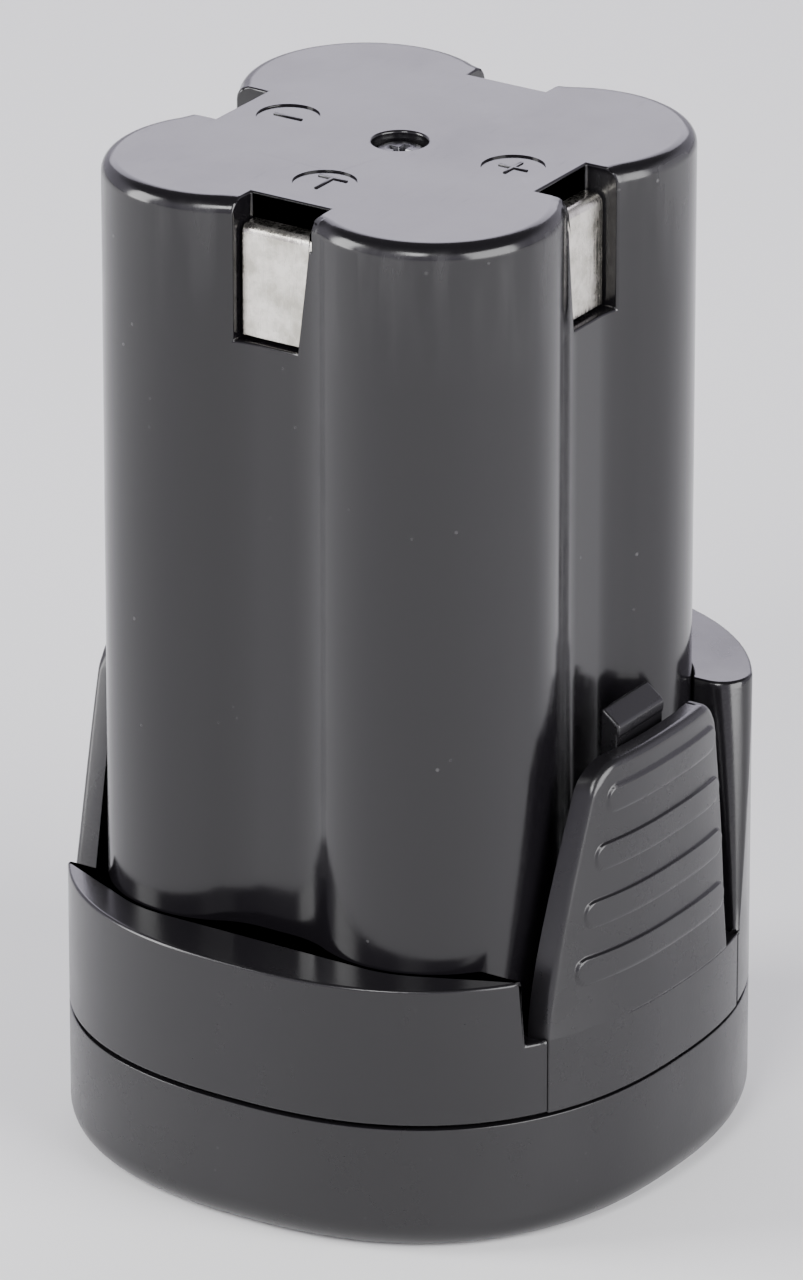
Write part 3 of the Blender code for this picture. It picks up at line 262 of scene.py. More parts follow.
def glossy_black(name, colour, roughness, wear):
    """Polished black ABS: almost even gloss, dust, hairline scratches, and smeared streaks below the roof's
    edge that dull the gloss and lighten its colour as a painted highlight.
    """
    finish, shader, node, links = new_finish(name, colour, roughness)
    place = node("ShaderNodeTexCoord")
    where = place.outputs["Object"]
    cloud = node("ShaderNodeTexNoise", (("Vector", where),), Scale=95.0, Detail=5.0, Roughness=0.6)
    fine = node("ShaderNodeTexNoise", (("Vector", where),), Scale=1400.0, Detail=3.0)
    dust = node("ShaderNodeTexVoronoi", (("Vector", where),), Scale=420.0)
    speck = spread(node, dust.outputs["Distance"], 0.035, 0.09, 1.0, 0.0)
    few = spread(node, cloud.outputs["Fac"], 0.50, 0.62, 0.0, 0.5 * wear)
    speck = node("ShaderNodeMath", ((0, speck), (1, few)), operation="MULTIPLY").outputs["Value"]
    stretch = node("ShaderNodeMapping", (("Vector", where),))
    stretch.inputs["Rotation"].default_value = (0.3, 0.5, 0.9)
    stretch.inputs["Scale"].default_value = (3600.0, 420.0, 420.0)
    hairs = node("ShaderNodeTexNoise", (("Vector", stretch.outputs["Vector"]),), Scale=1.0, Detail=1.0)
    hair = spread(node, hairs.outputs["Fac"], 0.66, 0.80, 0.0, 0.05 * wear)
    # A band below the roof's edge, fading downwards: streaks there raise the roughness as real smearing does,
    # and lift the colour as a painted highlight.
    level = node("ShaderNodeSeparateXYZ", (("Vector", where),)).outputs["Z"]
    high = spread(node, level, 0.079, 0.0905, 0.0, 1.0)
    below = spread(node, level, 0.0914, 0.0919, 1.0, 0.0)
    high = node("ShaderNodeMath", ((0, high), (1, below)), operation="MULTIPLY").outputs["Value"]
    drawn = node("ShaderNodeMapping", (("Vector", where),))
    drawn.inputs["Scale"].default_value = (260.0, 260.0, 35.0)
    smear_and_highlight_streaks = node("ShaderNodeTexNoise", (("Vector", drawn.outputs["Vector"]),), Scale=1.0, Detail=4.0)
    smear_and_highlight = spread(node, smear_and_highlight_streaks.outputs["Fac"], 0.48, 0.70, 0.0, wear)
    smear_and_highlight = node("ShaderNodeMath", ((0, smear_and_highlight), (1, high)), operation="MULTIPLY").outputs["Value"]
    film = spread(node, smear_and_highlight, 0.0, 1.0, 0.0, 0.2)
    # Dust specks and the painted highlight of the streaks both lighten the colour here.
    dust_and_highlight = node("ShaderNodeMath", ((0, speck), (1, film)), operation="ADD").outputs["Value"]
    light = tuple(part + 0.10 for part in colour)
    shaded(node, links, shader, colour, light, dust_and_highlight)
    rough = spread(node, cloud.outputs["Fac"], 0.3, 0.75, roughness - 0.03, roughness + 0.07)
    rough = node("ShaderNodeMath", ((0, rough), (1, hair)), operation="ADD").outputs["Value"]
    rough = node("ShaderNodeMath", ((0, rough), (1, film)), operation="ADD").outputs["Value"]
    links.new(rough, shader.inputs["Roughness"])
    surface = node("ShaderNodeMath", ((0, fine.outputs["Fac"]), (1, speck)), operation="ADD")
    relief(node, links, shader, surface.outputs["Value"], 0.00001, 0.22)
    return finish


def stacked(name, rings):
    """A closed skin over outlines with equal numbers of points, from the bottom one to the top one."""
    mesh = bpy.data.meshes.new(name)
    work = bmesh.new()
    loops = [[work.verts.new(point) for point in ring] for ring in rings]
    for below, above in zip(loops, loops[1:]):
        for i in range(len(below)):
            j = (i + 1) % len(below)
            work.faces.new((below[i], below[j], above[j], above[i]))
    work.faces.new(list(reversed(loops[0])))
    work.faces.new(loops[-1])
    work.to_mesh(mesh)
    work.free()
    obj = bpy.data.objects.new(name, mesh)
    bpy.context.scene.collection.objects.link(obj)
    return obj


def raised(outline, height):
    return [(x, y, height) for x, y in outline]


def block_between(name, low, high):
    """A plain box between two corners."""
    outline = [(low[0], low[1]), (high[0], low[1]), (high[0], high[1]), (low[0], high[1])]
    return stacked(name, [raised(outline, low[2]), raised(outline, high[2])])


def round_between(name, radius, low, high, x, y, steps=64):
    turn = [2 * math.pi * i / steps for i in range(steps)]
    outline = [(x + radius * math.cos(a), y + radius * math.sin(a)) for a in turn]
    return stacked(name, [raised(outline, low), raised(outline, high)])


def settle(obj):
    """Fix an object's modifiers into its mesh."""
    graph = bpy.context.evaluated_depsgraph_get()
    mesh = bpy.data.meshes.new_from_object(obj.evaluated_get(graph))
    obj.modifiers.clear()
    obj.data = mesh
    return obj


def shape_with(obj, operation, tools):
    """Cut from, join to, or keep what is common with each tool, and clear the tools away."""
    for tool in tools:
        step = obj.modifiers.new(tool.name, "BOOLEAN")
        step.operation = operation
        step.solver = "EXACT"
        step.object = tool
    settle(obj)
    for tool in tools:
        bpy.data.objects.remove(tool)
    return obj


def ease_edges(obj, width, steps=3, angle=30.0):
    """Break the sharp edges as a mould does, and keep the flat faces flat in the light."""
    bevel = obj.modifiers.new("Edges", "BEVEL")
    bevel.width = width
    bevel.segments = steps
    bevel.limit_method = "ANGLE"
    bevel.angle_limit = math.radians(angle)
    bevel.use_clamp_overlap = False
    settle(obj)
    return even_light(obj)


def even_light(obj):
    obj.data.shade_smooth()
    obj.data.set_sharp_from_angle(angle=math.radians(38))
    weight = obj.modifiers.new("Normals", "WEIGHTED_NORMAL")
    weight.keep_sharp = True
    weight.weight = 80
    return settle(obj)


def draw_in(obj, outside):
    """Bring the few points that a bevel threw outside the form back to their nearest neighbour."""
    work = bmesh.new()
    work.from_mesh(obj.data)
    for vertex in [v for v in work.verts if outside(v.co)]:
        near = [e.other_vert(vertex) for e in vertex.link_edges if not outside(e.other_vert(vertex).co)]
        if near:
            vertex.co = min(near, key=lambda other: (other.co - vertex.co).length).co
    bmesh.ops.remove_doubles(work, verts=work.verts, dist=0.002 * MM)
    bmesh.ops.dissolve_degenerate(work, edges=work.edges, dist=0.001 * MM)
    work.to_mesh(obj.data)
    work.free()


def face_out(obj):
    """Turn every face of a closed skin outwards."""
    work = bmesh.new()
    work.from_mesh(obj.data)
    bmesh.ops.recalc_face_normals(work, faces=work.faces)
    work.to_mesh(obj.data)
    work.free()
    return obj


def soft_corner(first, corner, last, steps=6):
    """Points on a curve from first to last that turns short of the corner, without the end on the lobe."""
    points = []
    for i in range(steps + 1):
        t = i / steps
        points.append(tuple((1 - t) ** 2 * a + 2 * t * (1 - t) * b + t ** 2 * c
                            for a, b, c in zip(first, corner, last)))
    return points[:-1] if first[0] == corner[0] else points[1:]


def lobed(grow):
    """The tower's outline, grown by a distance or, if it is negative, drawn in."""
    radius = LOBE_RADIUS + grow
    start = -math.acos((STRIP_X + grow - LOBE_X) / radius)
    end = math.pi / 2 + math.acos((STRIP_Y + grow - LOBE_Y) / radius)
    trim = STRIP_SOFT / radius
    turn = [start + trim + (end - start - 2 * trim) * i / LOBE_STEPS for i in range(LOBE_STEPS + 1)]
    lobe = [(LOBE_X + radius * math.cos(a), LOBE_Y + radius * math.sin(a)) for a in turn]
    side_x, side_y = STRIP_X + grow, LOBE_Y + radius * math.sin(start)
    end_x, end_y = LOBE_X + radius * math.cos(end), STRIP_Y + grow
    lobe = (soft_corner((side_x, side_y - STRIP_SOFT), (side_x, side_y), lobe[0]) + lobe
            + soft_corner(lobe[-1], (end_x, end_y), (end_x - STRIP_SOFT, end_y)))
    outline = lobe + [(-x, y) for x, y in reversed(lobe)]
    outline += [(-x, -y) for x, y in lobe] + [(x, -y) for x, y in reversed(lobe)]
    return [(x, y + TOWER_AXIS) for x, y in outline]


def side_box(name, side, near, half, low, high):
    """A box on one side of the tower, from a distance off its axis outwards."""
    sx, sy, depth = side
    if sx:
        xs = sorted((sx * near, sx * FAR))
        return block_between(name, (xs[0], TOWER_AXIS - half, low), (xs[1], TOWER_AXIS + half, high))
    ys = sorted((sy * near, sy * FAR))
    return block_between(name, (-half, TOWER_AXIS + ys[0], low), (half, TOWER_AXIS + ys[1], high))


def lip_way(side, near, edge_side):
    """The outer part of a recess: the wall next to the front right lobe leans in towards the foot."""
    sx, sy, depth = side
    rings = []
    for z, half in ((recess_low, RECESS_HALF - LIP_LEAN), (TOWER_TOP + PAST, RECESS_HALF + 0.25 * MM)):
        v_low, v_high = -RECESS_HALF, RECESS_HALF
        if edge_side < 0:
            v_low = -half
        else:
            v_high = half
        corners = ((near, v_low), (FAR, v_low), (FAR, v_high), (near, v_high))
        rings.append([(sx * u, TOWER_AXIS + v, z) if sx else (v, TOWER_AXIS + sy * u, z) for u, v in corners])
    way = stacked("lip_way", rings)
    if sx < 0:
        way.data.flip_normals()
    return way


tower = stacked("tower", [raised(lobed(0.0), TOWER_FOOT), raised(lobed(0.0), TOWER_TOP - TOWER_EDGE)]
                + [raised(lobed(TOWER_EDGE * (math.cos(a) - 1)), TOWER_TOP + TOWER_EDGE * (math.sin(a) - 1))
                   for a in [math.pi / 2 * i / 8 for i in range(1, 9)]])
inside = stacked("inside", [raised(lobed(-TOWER_WALL), TOWER_FOOT - PAST),
                            raised(lobed(-TOWER_WALL), TOWER_TOP - TOWER_ROOF)])
recess_low = TOWER_TOP - RECESS_HEIGHT
wall = 1.5 * MM
shape_with(inside, "DIFFERENCE", [side_box("inside_wall", side, side[2] - wall, RECESS_HALF + wall,
                                           recess_low - wall, TOWER_TOP) for side in RECESS_SIDES])
tower_cuts = [inside]
tower_cuts += [lip_way(side, side[2] + PLATE_OUT - LIP_LAP, edge_side)
               for side, edge_side in zip(RECESS_SIDES, (-1, -1, 1))]
pockets = [side_box("pocket", side, side[2], RECESS_HALF, recess_low, TOWER_TOP + PAST)
           for side in RECESS_SIDES]
for pocket, side in zip(pockets[:3], RECESS_SIDES):
    shape_with(pocket, "DIFFERENCE", [side_box("pocket_end", side, side[2] + PLATE_OUT + LIP_LAP, FAR,
                                               0.0, 2 * TOWER_TOP)])
tower_cuts += pockets
plate_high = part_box("contact_t")[1].z
tower_cuts += [side_box("plate_slot", side, side[2] - 2 * wall, RECESS_HALF - 0.1 * MM,
                        plate_high - 0.7 * MM, plate_high + 0.15 * MM) for side in RECESS_SIDES[:3]]
tower_cuts += [round_between("screw_seat", SEAT_RADIUS, TOWER_TOP - SEAT_DEPTH, TOWER_TOP + PAST,
                             0.0, TOWER_AXIS)]
shape_with(tower, "DIFFERENCE", tower_cuts)
ease_edges(tower, 0.22 * MM, 3)
draw_in(tower, lambda point: point.z > TOWER_TOP + 0.002 * MM)
mark_places = ((-MARK_X, TOWER_AXIS), (MARK_X, TOWER_AXIS), (0.0, TOWER_AXIS - MARK_Y))
shape_with(tower, "DIFFERENCE", [round_between("mark_disc", MARK_RADIUS, TOWER_TOP - MARK_DEPTH,
                                               TOWER_TOP + PAST, x, y) for x, y in mark_places])
even_light(tower)
tower.data.materials.clear()
tower_finish = glossy_black("tower_black_abs", (0.005, 0.0045, 0.0055), 0.15, 1.0)
tower.data.materials.append(tower_finish)
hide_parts("tower_housing")
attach(tower, "pack")


# ---------------------------------------------------------------- polarity marks
# Minus, plus and T stand up as thin ribs in three shallow round fields of the roof. They are
# moulded with it and cast in the same black.

mark_half = 1.45 * MM
mark_thin = 0.16 * MM
mark_low = TOWER_TOP - MARK_DEPTH - 0.05 * MM
mark_high = TOWER_TOP - MARK_DEPTH + 0.12 * MM
t_bar = TOWER_AXIS - MARK_Y + mark_half - mark_thin
bars = {
    "mark_minus": [(-MARK_X, TOWER_AXIS, mark_half, mark_thin)],
    "mark_plus": [(MARK_X, TOWER_AXIS, mark_half, mark_thin), (MARK_X, TOWER_AXIS, mark_thin, mark_half)],
    "mark_t": [(0.0, t_bar, mark_half, mark_thin),
               (0.0, t_bar - mark_half + mark_thin, mark_thin, mark_half)],
}
for name, strokes in bars.items():
    ribs = [block_between(name if i == 0 else "stroke", (x - across, y - along, mark_low),
                          (x + across, y + along, mark_high))
            for i, (x, y, across, along) in enumerate(strokes)]
    mark = shape_with(ribs[0], "UNION", ribs[1:])
    ease_edges(mark, 0.06 * MM, 2)
    mark.data.materials.clear()
    mark.data.materials.append(tower_finish)
    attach(mark, "pack")


# ---------------------------------------------------------------- terminal plates
# Three blades of nickel plated strip lie in the recesses, each folded over at the top and pushed
# into a slot of the tower, where its tail reaches the contact block.

PLATE_HALF = 3.7 * MM
PLATE_THICK = 0.6 * MM
PLATE_TAIL = 5.4 * MM
PLATE_BEND = 0.9 * MM


def terminal_nickel():
    """Nickel plate, brushed down the blade, with a smeared, slightly tarnished film."""
    finish, shader, node, links = new_finish("terminal_nickel", (0.74, 0.71, 0.65), 0.24, 1.0)
    place = node("ShaderNodeTexCoord")
    where = place.outputs["Object"]
    stretch = node("ShaderNodeMapping", (("Vector", where),))
    stretch.inputs["Scale"].default_value = (3600.0, 3600.0, 140.0)
    brushing = node("ShaderNodeTexNoise", (("Vector", stretch.outputs["Vector"]),), Scale=1.0, Detail=5.0)
    film = node("ShaderNodeTexNoise", (("Vector", where),), Scale=330.0, Detail=6.0, Roughness=0.65)
    shaded(node, links, shader, (0.50, 0.48, 0.42), (0.80, 0.77, 0.71),
           spread(node, film.outputs["Fac"], 0.38, 0.6, 0.0, 1.0))
    gloss = node("ShaderNodeMath", ((0, brushing.outputs["Fac"]), (1, film.outputs["Fac"])), operation="ADD")
    links.new(spread(node, gloss.outputs["Value"], 0.7, 1.3, 0.16, 0.40), shader.inputs["Roughness"])
    relief(node, links, shader, brushing.outputs["Fac"], 0.00002, 0.4)
    return finish


def folded_blade(name, side):
    """The blade's side view, swept across its width: upright face, fold, level tail."""
    sx, sy, depth = side
    outer = depth + PLATE_OUT
    low = recess_low + 0.3 * MM
    bend = [math.pi / 2 * i / 8 for i in range(9)]
    line = [(outer, low)]
    line += [(outer - PLATE_BEND * (1 - math.cos(a)), plate_high - PLATE_BEND * (1 - math.sin(a)))
             for a in bend]
    line += [(outer - PLATE_TAIL, plate_high)]
    inner_bend = PLATE_BEND - PLATE_THICK
    line += [(outer - PLATE_TAIL, plate_high - PLATE_THICK)]
    line += [(outer - PLATE_THICK - inner_bend * (1 - math.cos(a)),
              plate_high - PLATE_THICK - inner_bend * (1 - math.sin(a))) for a in reversed(bend)]
    line += [(outer - PLATE_THICK, low)]
    across = (-PLATE_HALF, PLATE_HALF)
    if sx:
        rings = [[(sx * u, TOWER_AXIS + v, z) for u, z in line] for v in across]
    else:
        rings = [[(-sy * v, TOWER_AXIS + sy * u, z) for u, z in line] for v in across]
    return face_out(stacked(name, rings))


nickel = terminal_nickel()
for name, side in zip(("contact_plus", "contact_minus", "contact_t"), RECESS_SIDES):
    blade = folded_blade("blade_" + name[8:], side)
    ease_edges(blade, 0.1 * MM, 2)
    blade.data.materials.clear()
    blade.data.materials.append(nickel)
    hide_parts(name)
    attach(blade, "pack")


# ---------------------------------------------------------------- collar
# The collar is the ring that the tool's handle seats on: satin black ABS with a low front rim, a
# tall block behind with soft front corners, and a well at each side for a latch.

HALF_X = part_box("bottom_cap")[1].x
HALF_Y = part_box("bottom_cap")[1].y
POWER = 2.4
COLLAR_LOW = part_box("collar")[0].z
BLOCK_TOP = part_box("collar")[1].z
LEDGE = 25.2 * MM
WELL_FLOOR = 19.2 * MM
WELL_FRONT = -18.5 * MM
BLOCK_FRONT = 11.3 * MM
BLOCK_LEAN = (14.0 - 11.3) / (41.2 - 19.2)
LATCH_THICK = 1.8 * MM
FOOT_FRONT = -16.7 * MM
FOOT_BACK = 11.3 * MM
SEAM = 0.09 * MM


def satin_black(name, colour, roughness, wear):
    """Satin black ABS: fine mould grain under the same dust and rubbing as the tower."""
    finish, shader, node, links = new_finish(name, colour, roughness)
    place = node("ShaderNodeTexCoord")
    where = place.outputs["Object"]
    grain = node("ShaderNodeTexNoise", (("Vector", where),), Scale=3800.0, Detail=2.0)
    cloud = node("ShaderNodeTexNoise", (("Vector", where),), Scale=110.0, Detail=6.0, Roughness=0.62)
    dust = node("ShaderNodeTexVoronoi", (("Vector", where),), Scale=520.0)
    speck = spread(node, dust.outputs["Distance"], 0.04, 0.10, 1.0, 0.0)
    few = spread(node, cloud.outputs["Fac"], 0.50, 0.64, 0.0, 0.4 * wear)
    speck = node("ShaderNodeMath", ((0, speck), (1, few)), operation="MULTIPLY").outputs["Value"]
    light = tuple(part + 0.07 for part in colour)
    shaded(node, links, shader, colour, light, speck)
    rough = spread(node, cloud.outputs["Fac"], 0.3, 0.75, roughness - 0.05, roughness + 0.08)
    links.new(rough, shader.inputs["Roughness"])
    relief(node, links, shader, grain.outputs["Fac"], 0.00002, 0.3)
    return finish


def base_point(angle, inset):
    c, s = math.cos(angle), math.sin(angle)
    x = (HALF_X - inset) * math.copysign(abs(c) ** (2 / POWER), c)
    y = (HALF_Y - inset) * math.copysign(abs(s) ** (2 / POWER), s)
    return x, y


def base_outline(inset, steps=256):
    return [base_point(2 * math.pi * i / steps, inset) for i in range(steps)]


def side_view(name, outline, near, far):
    """A solid drawn in side view, in y and z, between two distances along x."""
    rings = [[(x, y, z) for y, z in outline] for x in sorted((near, far))]
    return stacked(name, rings)


def block_front(z):
    return BLOCK_FRONT + BLOCK_LEAN * (z - WELL_FLOOR)


def front_cutter(z, radius):
    """What the step takes away in front of the block at one level, round the block's soft corners."""
    front = block_front(z)
    low, high = 0.0, math.pi / 2
    for _ in range(40):
        angle = (low + high) / 2
        x, y = base_point(angle, 0.0)
        nx = (x / HALF_X) ** (POWER - 1) / HALF_X
        ny = (y / HALF_Y) ** (POWER - 1) / HALF_Y
        length = math.hypot(nx, ny)
        nx, ny = nx / length, ny / length
        if y - radius * ny > front + radius:
            high = angle
        else:
            low = angle
    centre = (x - radius * nx + 0.03 * MM, front + radius)
    end = math.atan2(ny, nx)
    turn = [-math.pi / 2 + (end + math.pi / 2) * i / 10 for i in range(11)]
    right = [(centre[0] + radius * math.cos(a), centre[1] + radius * math.sin(a)) for a in turn]
    reach = 6 * MM
    right.append((right[-1][0] - reach * math.sin(end), right[-1][1] + reach * math.cos(end)))
    right.append((60 * MM, right[-1][1]))
    left = [(-x, y) for x, y in reversed(right)]
    outline = [(-60 * MM, -60 * MM), (60 * MM, -60 * MM)] + list(reversed(right)) + list(reversed(left))
    return raised(outline, z)


collar = stacked("collar_ring", [raised(base_outline(0.0), COLLAR_LOW), raised(base_outline(0.0), BLOCK_TOP)])
levels = [WELL_FLOOR + (BLOCK_TOP + PAST - WELL_FLOOR) * i / 9 for i in range(10)]
cleared = stacked("cleared", [front_cutter(z, 0.5 * MM + 0.10 * (z - WELL_FLOOR)) for z in levels])
room = [raised(base_outline(3.6 * MM), z) for z in (COLLAR_LOW - PAST, WELL_FLOOR - 1.8 * MM)]
shape_with(collar, "DIFFERENCE", [stacked("tower_way", [raised(lobed(0.12 * MM), COLLAR_LOW - 2 * PAST),
                                                        raised(lobed(0.12 * MM), BLOCK_TOP + 2 * PAST)]),
                                  stacked("lower_room", room)])
well_top = BLOCK_TOP + PAST
lean_front = WELL_FRONT - 0.4 * MM * (well_top - WELL_FLOOR) / (LEDGE - WELL_FLOOR)
well = [(WELL_FRONT, WELL_FLOOR), (60 * MM, WELL_FLOOR), (60 * MM, well_top), (lean_front, well_top)]
kept = block_between("above_ledge", (-60 * MM, -60 * MM, LEDGE), (60 * MM, 60 * MM, BLOCK_TOP + 2 * PAST))
shape_with(kept, "UNION", [side_view("well", well, side * LOBE_X, side * 59 * MM) for side in (1, -1)])
pocket = [(FOOT_FRONT, COLLAR_LOW - PAST), (FOOT_BACK, COLLAR_LOW - PAST), (FOOT_BACK, WELL_FLOOR + PAST),
          (FOOT_FRONT, WELL_FLOOR + PAST)]
shape_with(collar, "DIFFERENCE", [shape_with(cleared, "INTERSECT", [kept])])
for side in (1, -1):
    core = stacked("pocket_core", [raised(base_outline(LATCH_THICK + 0.3 * MM), 0.0),
                                   raised(base_outline(LATCH_THICK + 0.3 * MM), BLOCK_TOP + 2 * PAST)])
    foot_pocket = side_view("foot_pocket", pocket, side * LOBE_X, side * 40 * MM)
    shape_with(collar, "DIFFERENCE", [shape_with(foot_pocket, "DIFFERENCE", [core])])
ease_edges(collar, 0.3 * MM, 3)


def beyond_outline(point):
    """Whether a point lies outside the base's rounded square."""
    return (abs(point.x) / HALF_X) ** POWER + (abs(point.y) / HALF_Y) ** POWER > 1.004


draw_in(collar, beyond_outline)
even_light(collar)
collar.data.materials.clear()
collar_finish = satin_black("collar_black_abs", (0.006, 0.0055, 0.0065), 0.23, 0.4)
collar.data.materials.append(collar_finish)
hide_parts("collar")
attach(collar, "pack")


# ---------------------------------------------------------------- bottom cap
# A shallow cup of the same satin ABS closes the base. It meets the collar at a fine dark line, and
# four screws hold it from below.

CAP_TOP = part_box("bottom_cap")[1].z
CAP_EDGE = 3.0 * MM
SCREW_PLACES = ((0.0, -24.0 * MM), (0.0, 24.0 * MM), (22.2 * MM, TOWER_AXIS), (-22.2 * MM, TOWER_AXIS))

corner = [math.pi / 2 * i / 12 for i in range(13)]
cap_rings = [raised(base_outline(CAP_EDGE * (1 - math.sin(a))), CAP_EDGE * (1 - math.cos(a))) for a in corner]
cap = stacked("cap", cap_rings + [raised(base_outline(0.0), CAP_TOP)])
cap_room = stacked("cap_room", [raised(base_outline(2.0 * MM), z) for z in (2.2 * MM, CAP_TOP + PAST)])
shape_with(cap, "DIFFERENCE", [cap_room])
shape_with(cap, "UNION", [round_between("boss", 3.0 * MM, 1.9 * MM, CAP_TOP - 0.3 * MM, x, y, 32)
                          for x, y in SCREW_PLACES])
shape_with(cap, "DIFFERENCE", [round_between("head_well", 2.2 * MM, -PAST, 3.0 * MM, x, y)
                               for x, y in SCREW_PLACES])
shape_with(cap, "DIFFERENCE", [round_between("shank_way", 1.2 * MM, PAST, CAP_TOP + PAST, x, y, 32)
                               for x, y in SCREW_PLACES])
ease_edges(cap, 0.15 * MM, 2)
cap.data.materials.clear()
cap.data.materials.append(satin_black("cap_black_abs", (0.007, 0.0065, 0.0075), 0.28, 0.6))
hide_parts("bottom_cap")
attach(cap, "pack")


# ---------------------------------------------------------------- latches
# Each latch is one black moulding: a foot flush in the collar, and above it a thin curved tongue
# with four grip ribs that springs at its root and carries the catch behind its upper edge.

TONGUE_TOP = 42.7 * MM
TONGUE_CORNER = 2.5 * MM
RIB_PITCH = 4.95 * MM
RIB_FIRST = 39.3 * MM
RIB_RADIUS = 1.3 * MM
RIB_RISE = 0.3 * MM
RIB_MARGIN = 1.9 * MM
EDGE = 0.4 * MM


def lean(z):
    """How far the tongue draws in from the base's outline at a level."""
    return 1.9 * MM * (1 - math.exp(-max(0.0, z - WELL_FLOOR) / (17 * MM)))


def tongue_front(z):
    share = max(0.0, z - WELL_FLOOR) / (TONGUE_TOP - WELL_FLOOR)
    return FOOT_FRONT + SEAM + 6.5 * MM * share ** 1.25


def tongue_back(z):
    return 8.4 * MM + 0.8 * MM * math.sin(math.pi * min(1.0, (z - WELL_FLOOR) / (21 * MM)))


def rib_rise(y, z):
    """How far the grip ribs stand out at a place: a crisp upper edge, then falling away below."""
    rise = 0.0
    for i in range(4):
        middle = RIB_FIRST - i * RIB_PITCH
        if abs(z - middle) > RIB_RADIUS:
            continue
        front = tongue_front(middle) + RIB_MARGIN + RIB_RADIUS
        back = tongue_back(middle) - 0.5 * MM - RIB_RADIUS
        dy = max(front - y, 0.0, y - back)
        inside = RIB_RADIUS - math.hypot(dy, z - middle)
        share = min(1.0, max(0.0, inside / (0.16 * MM)))
        fall = 0.3 + 0.7 * min(1.0, max(0.0, (z - middle + RIB_RADIUS) / (2 * RIB_RADIUS)))
        rise = max(rise, RIB_RISE * fall * share * share * (3 - 2 * share))
    return rise


def rounded(distance, radius):
    """How far a rounded edge falls away at a distance from the outline."""
    if distance >= radius:
        return 0.0
    return radius - math.sqrt(radius ** 2 - (radius - distance) ** 2)


def shell_x(y, inset):
    return (HALF_X - inset) * (1 - (abs(y) / (HALF_Y - inset)) ** POWER) ** (1 / POWER)


def across(front, back, edge):
    """Places across the latch, closer together at its rounded edges and at the ends of the ribs."""
    rim = [edge * (1 - math.cos(math.pi / 2 * i / 5)) for i in range(5)]
    lead = [edge + (1.8 * MM - edge) * i / 5 for i in range(5)]
    fine = [1.8 * MM + 0.075 * MM * i for i in range(21)]
    tail = [0.4 * MM + 0.075 * MM * i for i in range(21)]
    middle = [front + fine[-1] + (back - front - fine[-1] - tail[-1]) * i / 40 for i in range(1, 40)]
    return [front + d for d in rim + lead + fine] + middle + [back - d for d in reversed(tail)] + [
        back - d for d in reversed([tail[0] * (1 - math.cos(math.pi / 2 * i / 5)) for i in range(5)])]


def latch_rows():
    """Each level of the latch with its front and back ends, its edge radius and its depth from the top."""
    rows = []
    foot_low = COLLAR_LOW + 0.02 * MM
    foot_back = FOOT_BACK - SEAM
    for z in (foot_low, foot_low + 0.06 * MM, 15 * MM, 17 * MM, WELL_FLOOR - 0.1 * MM, WELL_FLOOR):
        rows.append((z, FOOT_FRONT + SEAM, foot_back, 0.1 * MM))
    straight_top = TONGUE_TOP - TONGUE_CORNER
    heights = [WELL_FLOOR + 0.002 * MM + (straight_top - WELL_FLOOR) * i / 110 for i in range(111)]
    for i in range(4):
        for rim in (RIB_FIRST - i * RIB_PITCH + RIB_RADIUS, RIB_FIRST - i * RIB_PITCH - RIB_RADIUS):
            heights += [rim + step * MM for step in (-0.17, -0.13, -0.09, -0.05, -0.01, 0.01)]
    heights = [z for z, after in zip(sorted(heights), sorted(heights)[1:] + [1.0])
               if after - z > 0.02 * MM and z <= straight_top + 0.002 * MM]
    for z in heights:
        edge = 0.1 * MM + (EDGE - 0.1 * MM) * min(1.0, (z - WELL_FLOOR) / (4 * MM))
        rows.append((z, tongue_front(z), tongue_back(z), edge))
    for i in range(1, 25):
        a = math.pi / 2 * i / 24
        z = straight_top + TONGUE_CORNER * math.sin(a)
        trim = TONGUE_CORNER * (1 - math.cos(a))
        rows.append((z, tongue_front(z) + trim, tongue_back(z) - trim, EDGE))
    return rows


def latch_skin(name):
    """The latch without its catch, right-hand side: outer face with ribs, inner face and edges."""
    mesh = bpy.data.meshes.new(name)
    work = bmesh.new()
    outer, inner = [], []
    straight_top = TONGUE_TOP - TONGUE_CORNER
    for z, front, back, edge in latch_rows():
        out_row, in_row = [], []
        for y in across(front, back, edge):
            rim = min(y - front, back - y)
            soft = edge
            if z > straight_top:
                corner_front = tongue_front(z) + TONGUE_CORNER
                corner_back = tongue_back(z) - TONGUE_CORNER
                dy = max(corner_front - y, y - corner_back, 0.0)
                rim = TONGUE_CORNER - math.hypot(dy, z - straight_top)
                soft = EDGE + 0.35 * MM * min(1.0, (z - straight_top) / MM)
            rim = max(0.0, rim)
            depth = lean(z) + rounded(rim, soft) - rib_rise(y, z)
            out_row.append(work.verts.new((shell_x(y, depth), y, z)))
            in_row.append(work.verts.new((shell_x(y, lean(z) + LATCH_THICK), y, z)))
        outer.append(out_row)
        inner.append(in_row)
    rows, columns = len(outer), len(outer[0])
    for i in range(rows - 1):
        for j in range(columns - 1):
            work.faces.new((outer[i][j], outer[i][j + 1], outer[i + 1][j + 1], outer[i + 1][j]))
            work.faces.new((inner[i][j], inner[i + 1][j], inner[i + 1][j + 1], inner[i][j + 1]))
    for i in range(rows - 1):
        work.faces.new((outer[i][0], outer[i + 1][0], inner[i + 1][0], inner[i][0]))
        work.faces.new((outer[i][-1], inner[i][-1], inner[i + 1][-1], outer[i + 1][-1]))
    for j in range(columns - 1):
        work.faces.new((outer[0][j], inner[0][j], inner[0][j + 1], outer[0][j + 1]))
        work.faces.new((outer[-1][j], outer[-1][j + 1], inner[-1][j + 1], inner[-1][j]))
    bmesh.ops.recalc_face_normals(work, faces=work.faces)
    work.to_mesh(mesh)
    work.free()
    obj = bpy.data.objects.new(name, mesh)
    bpy.context.scene.collection.objects.link(obj)
    return obj


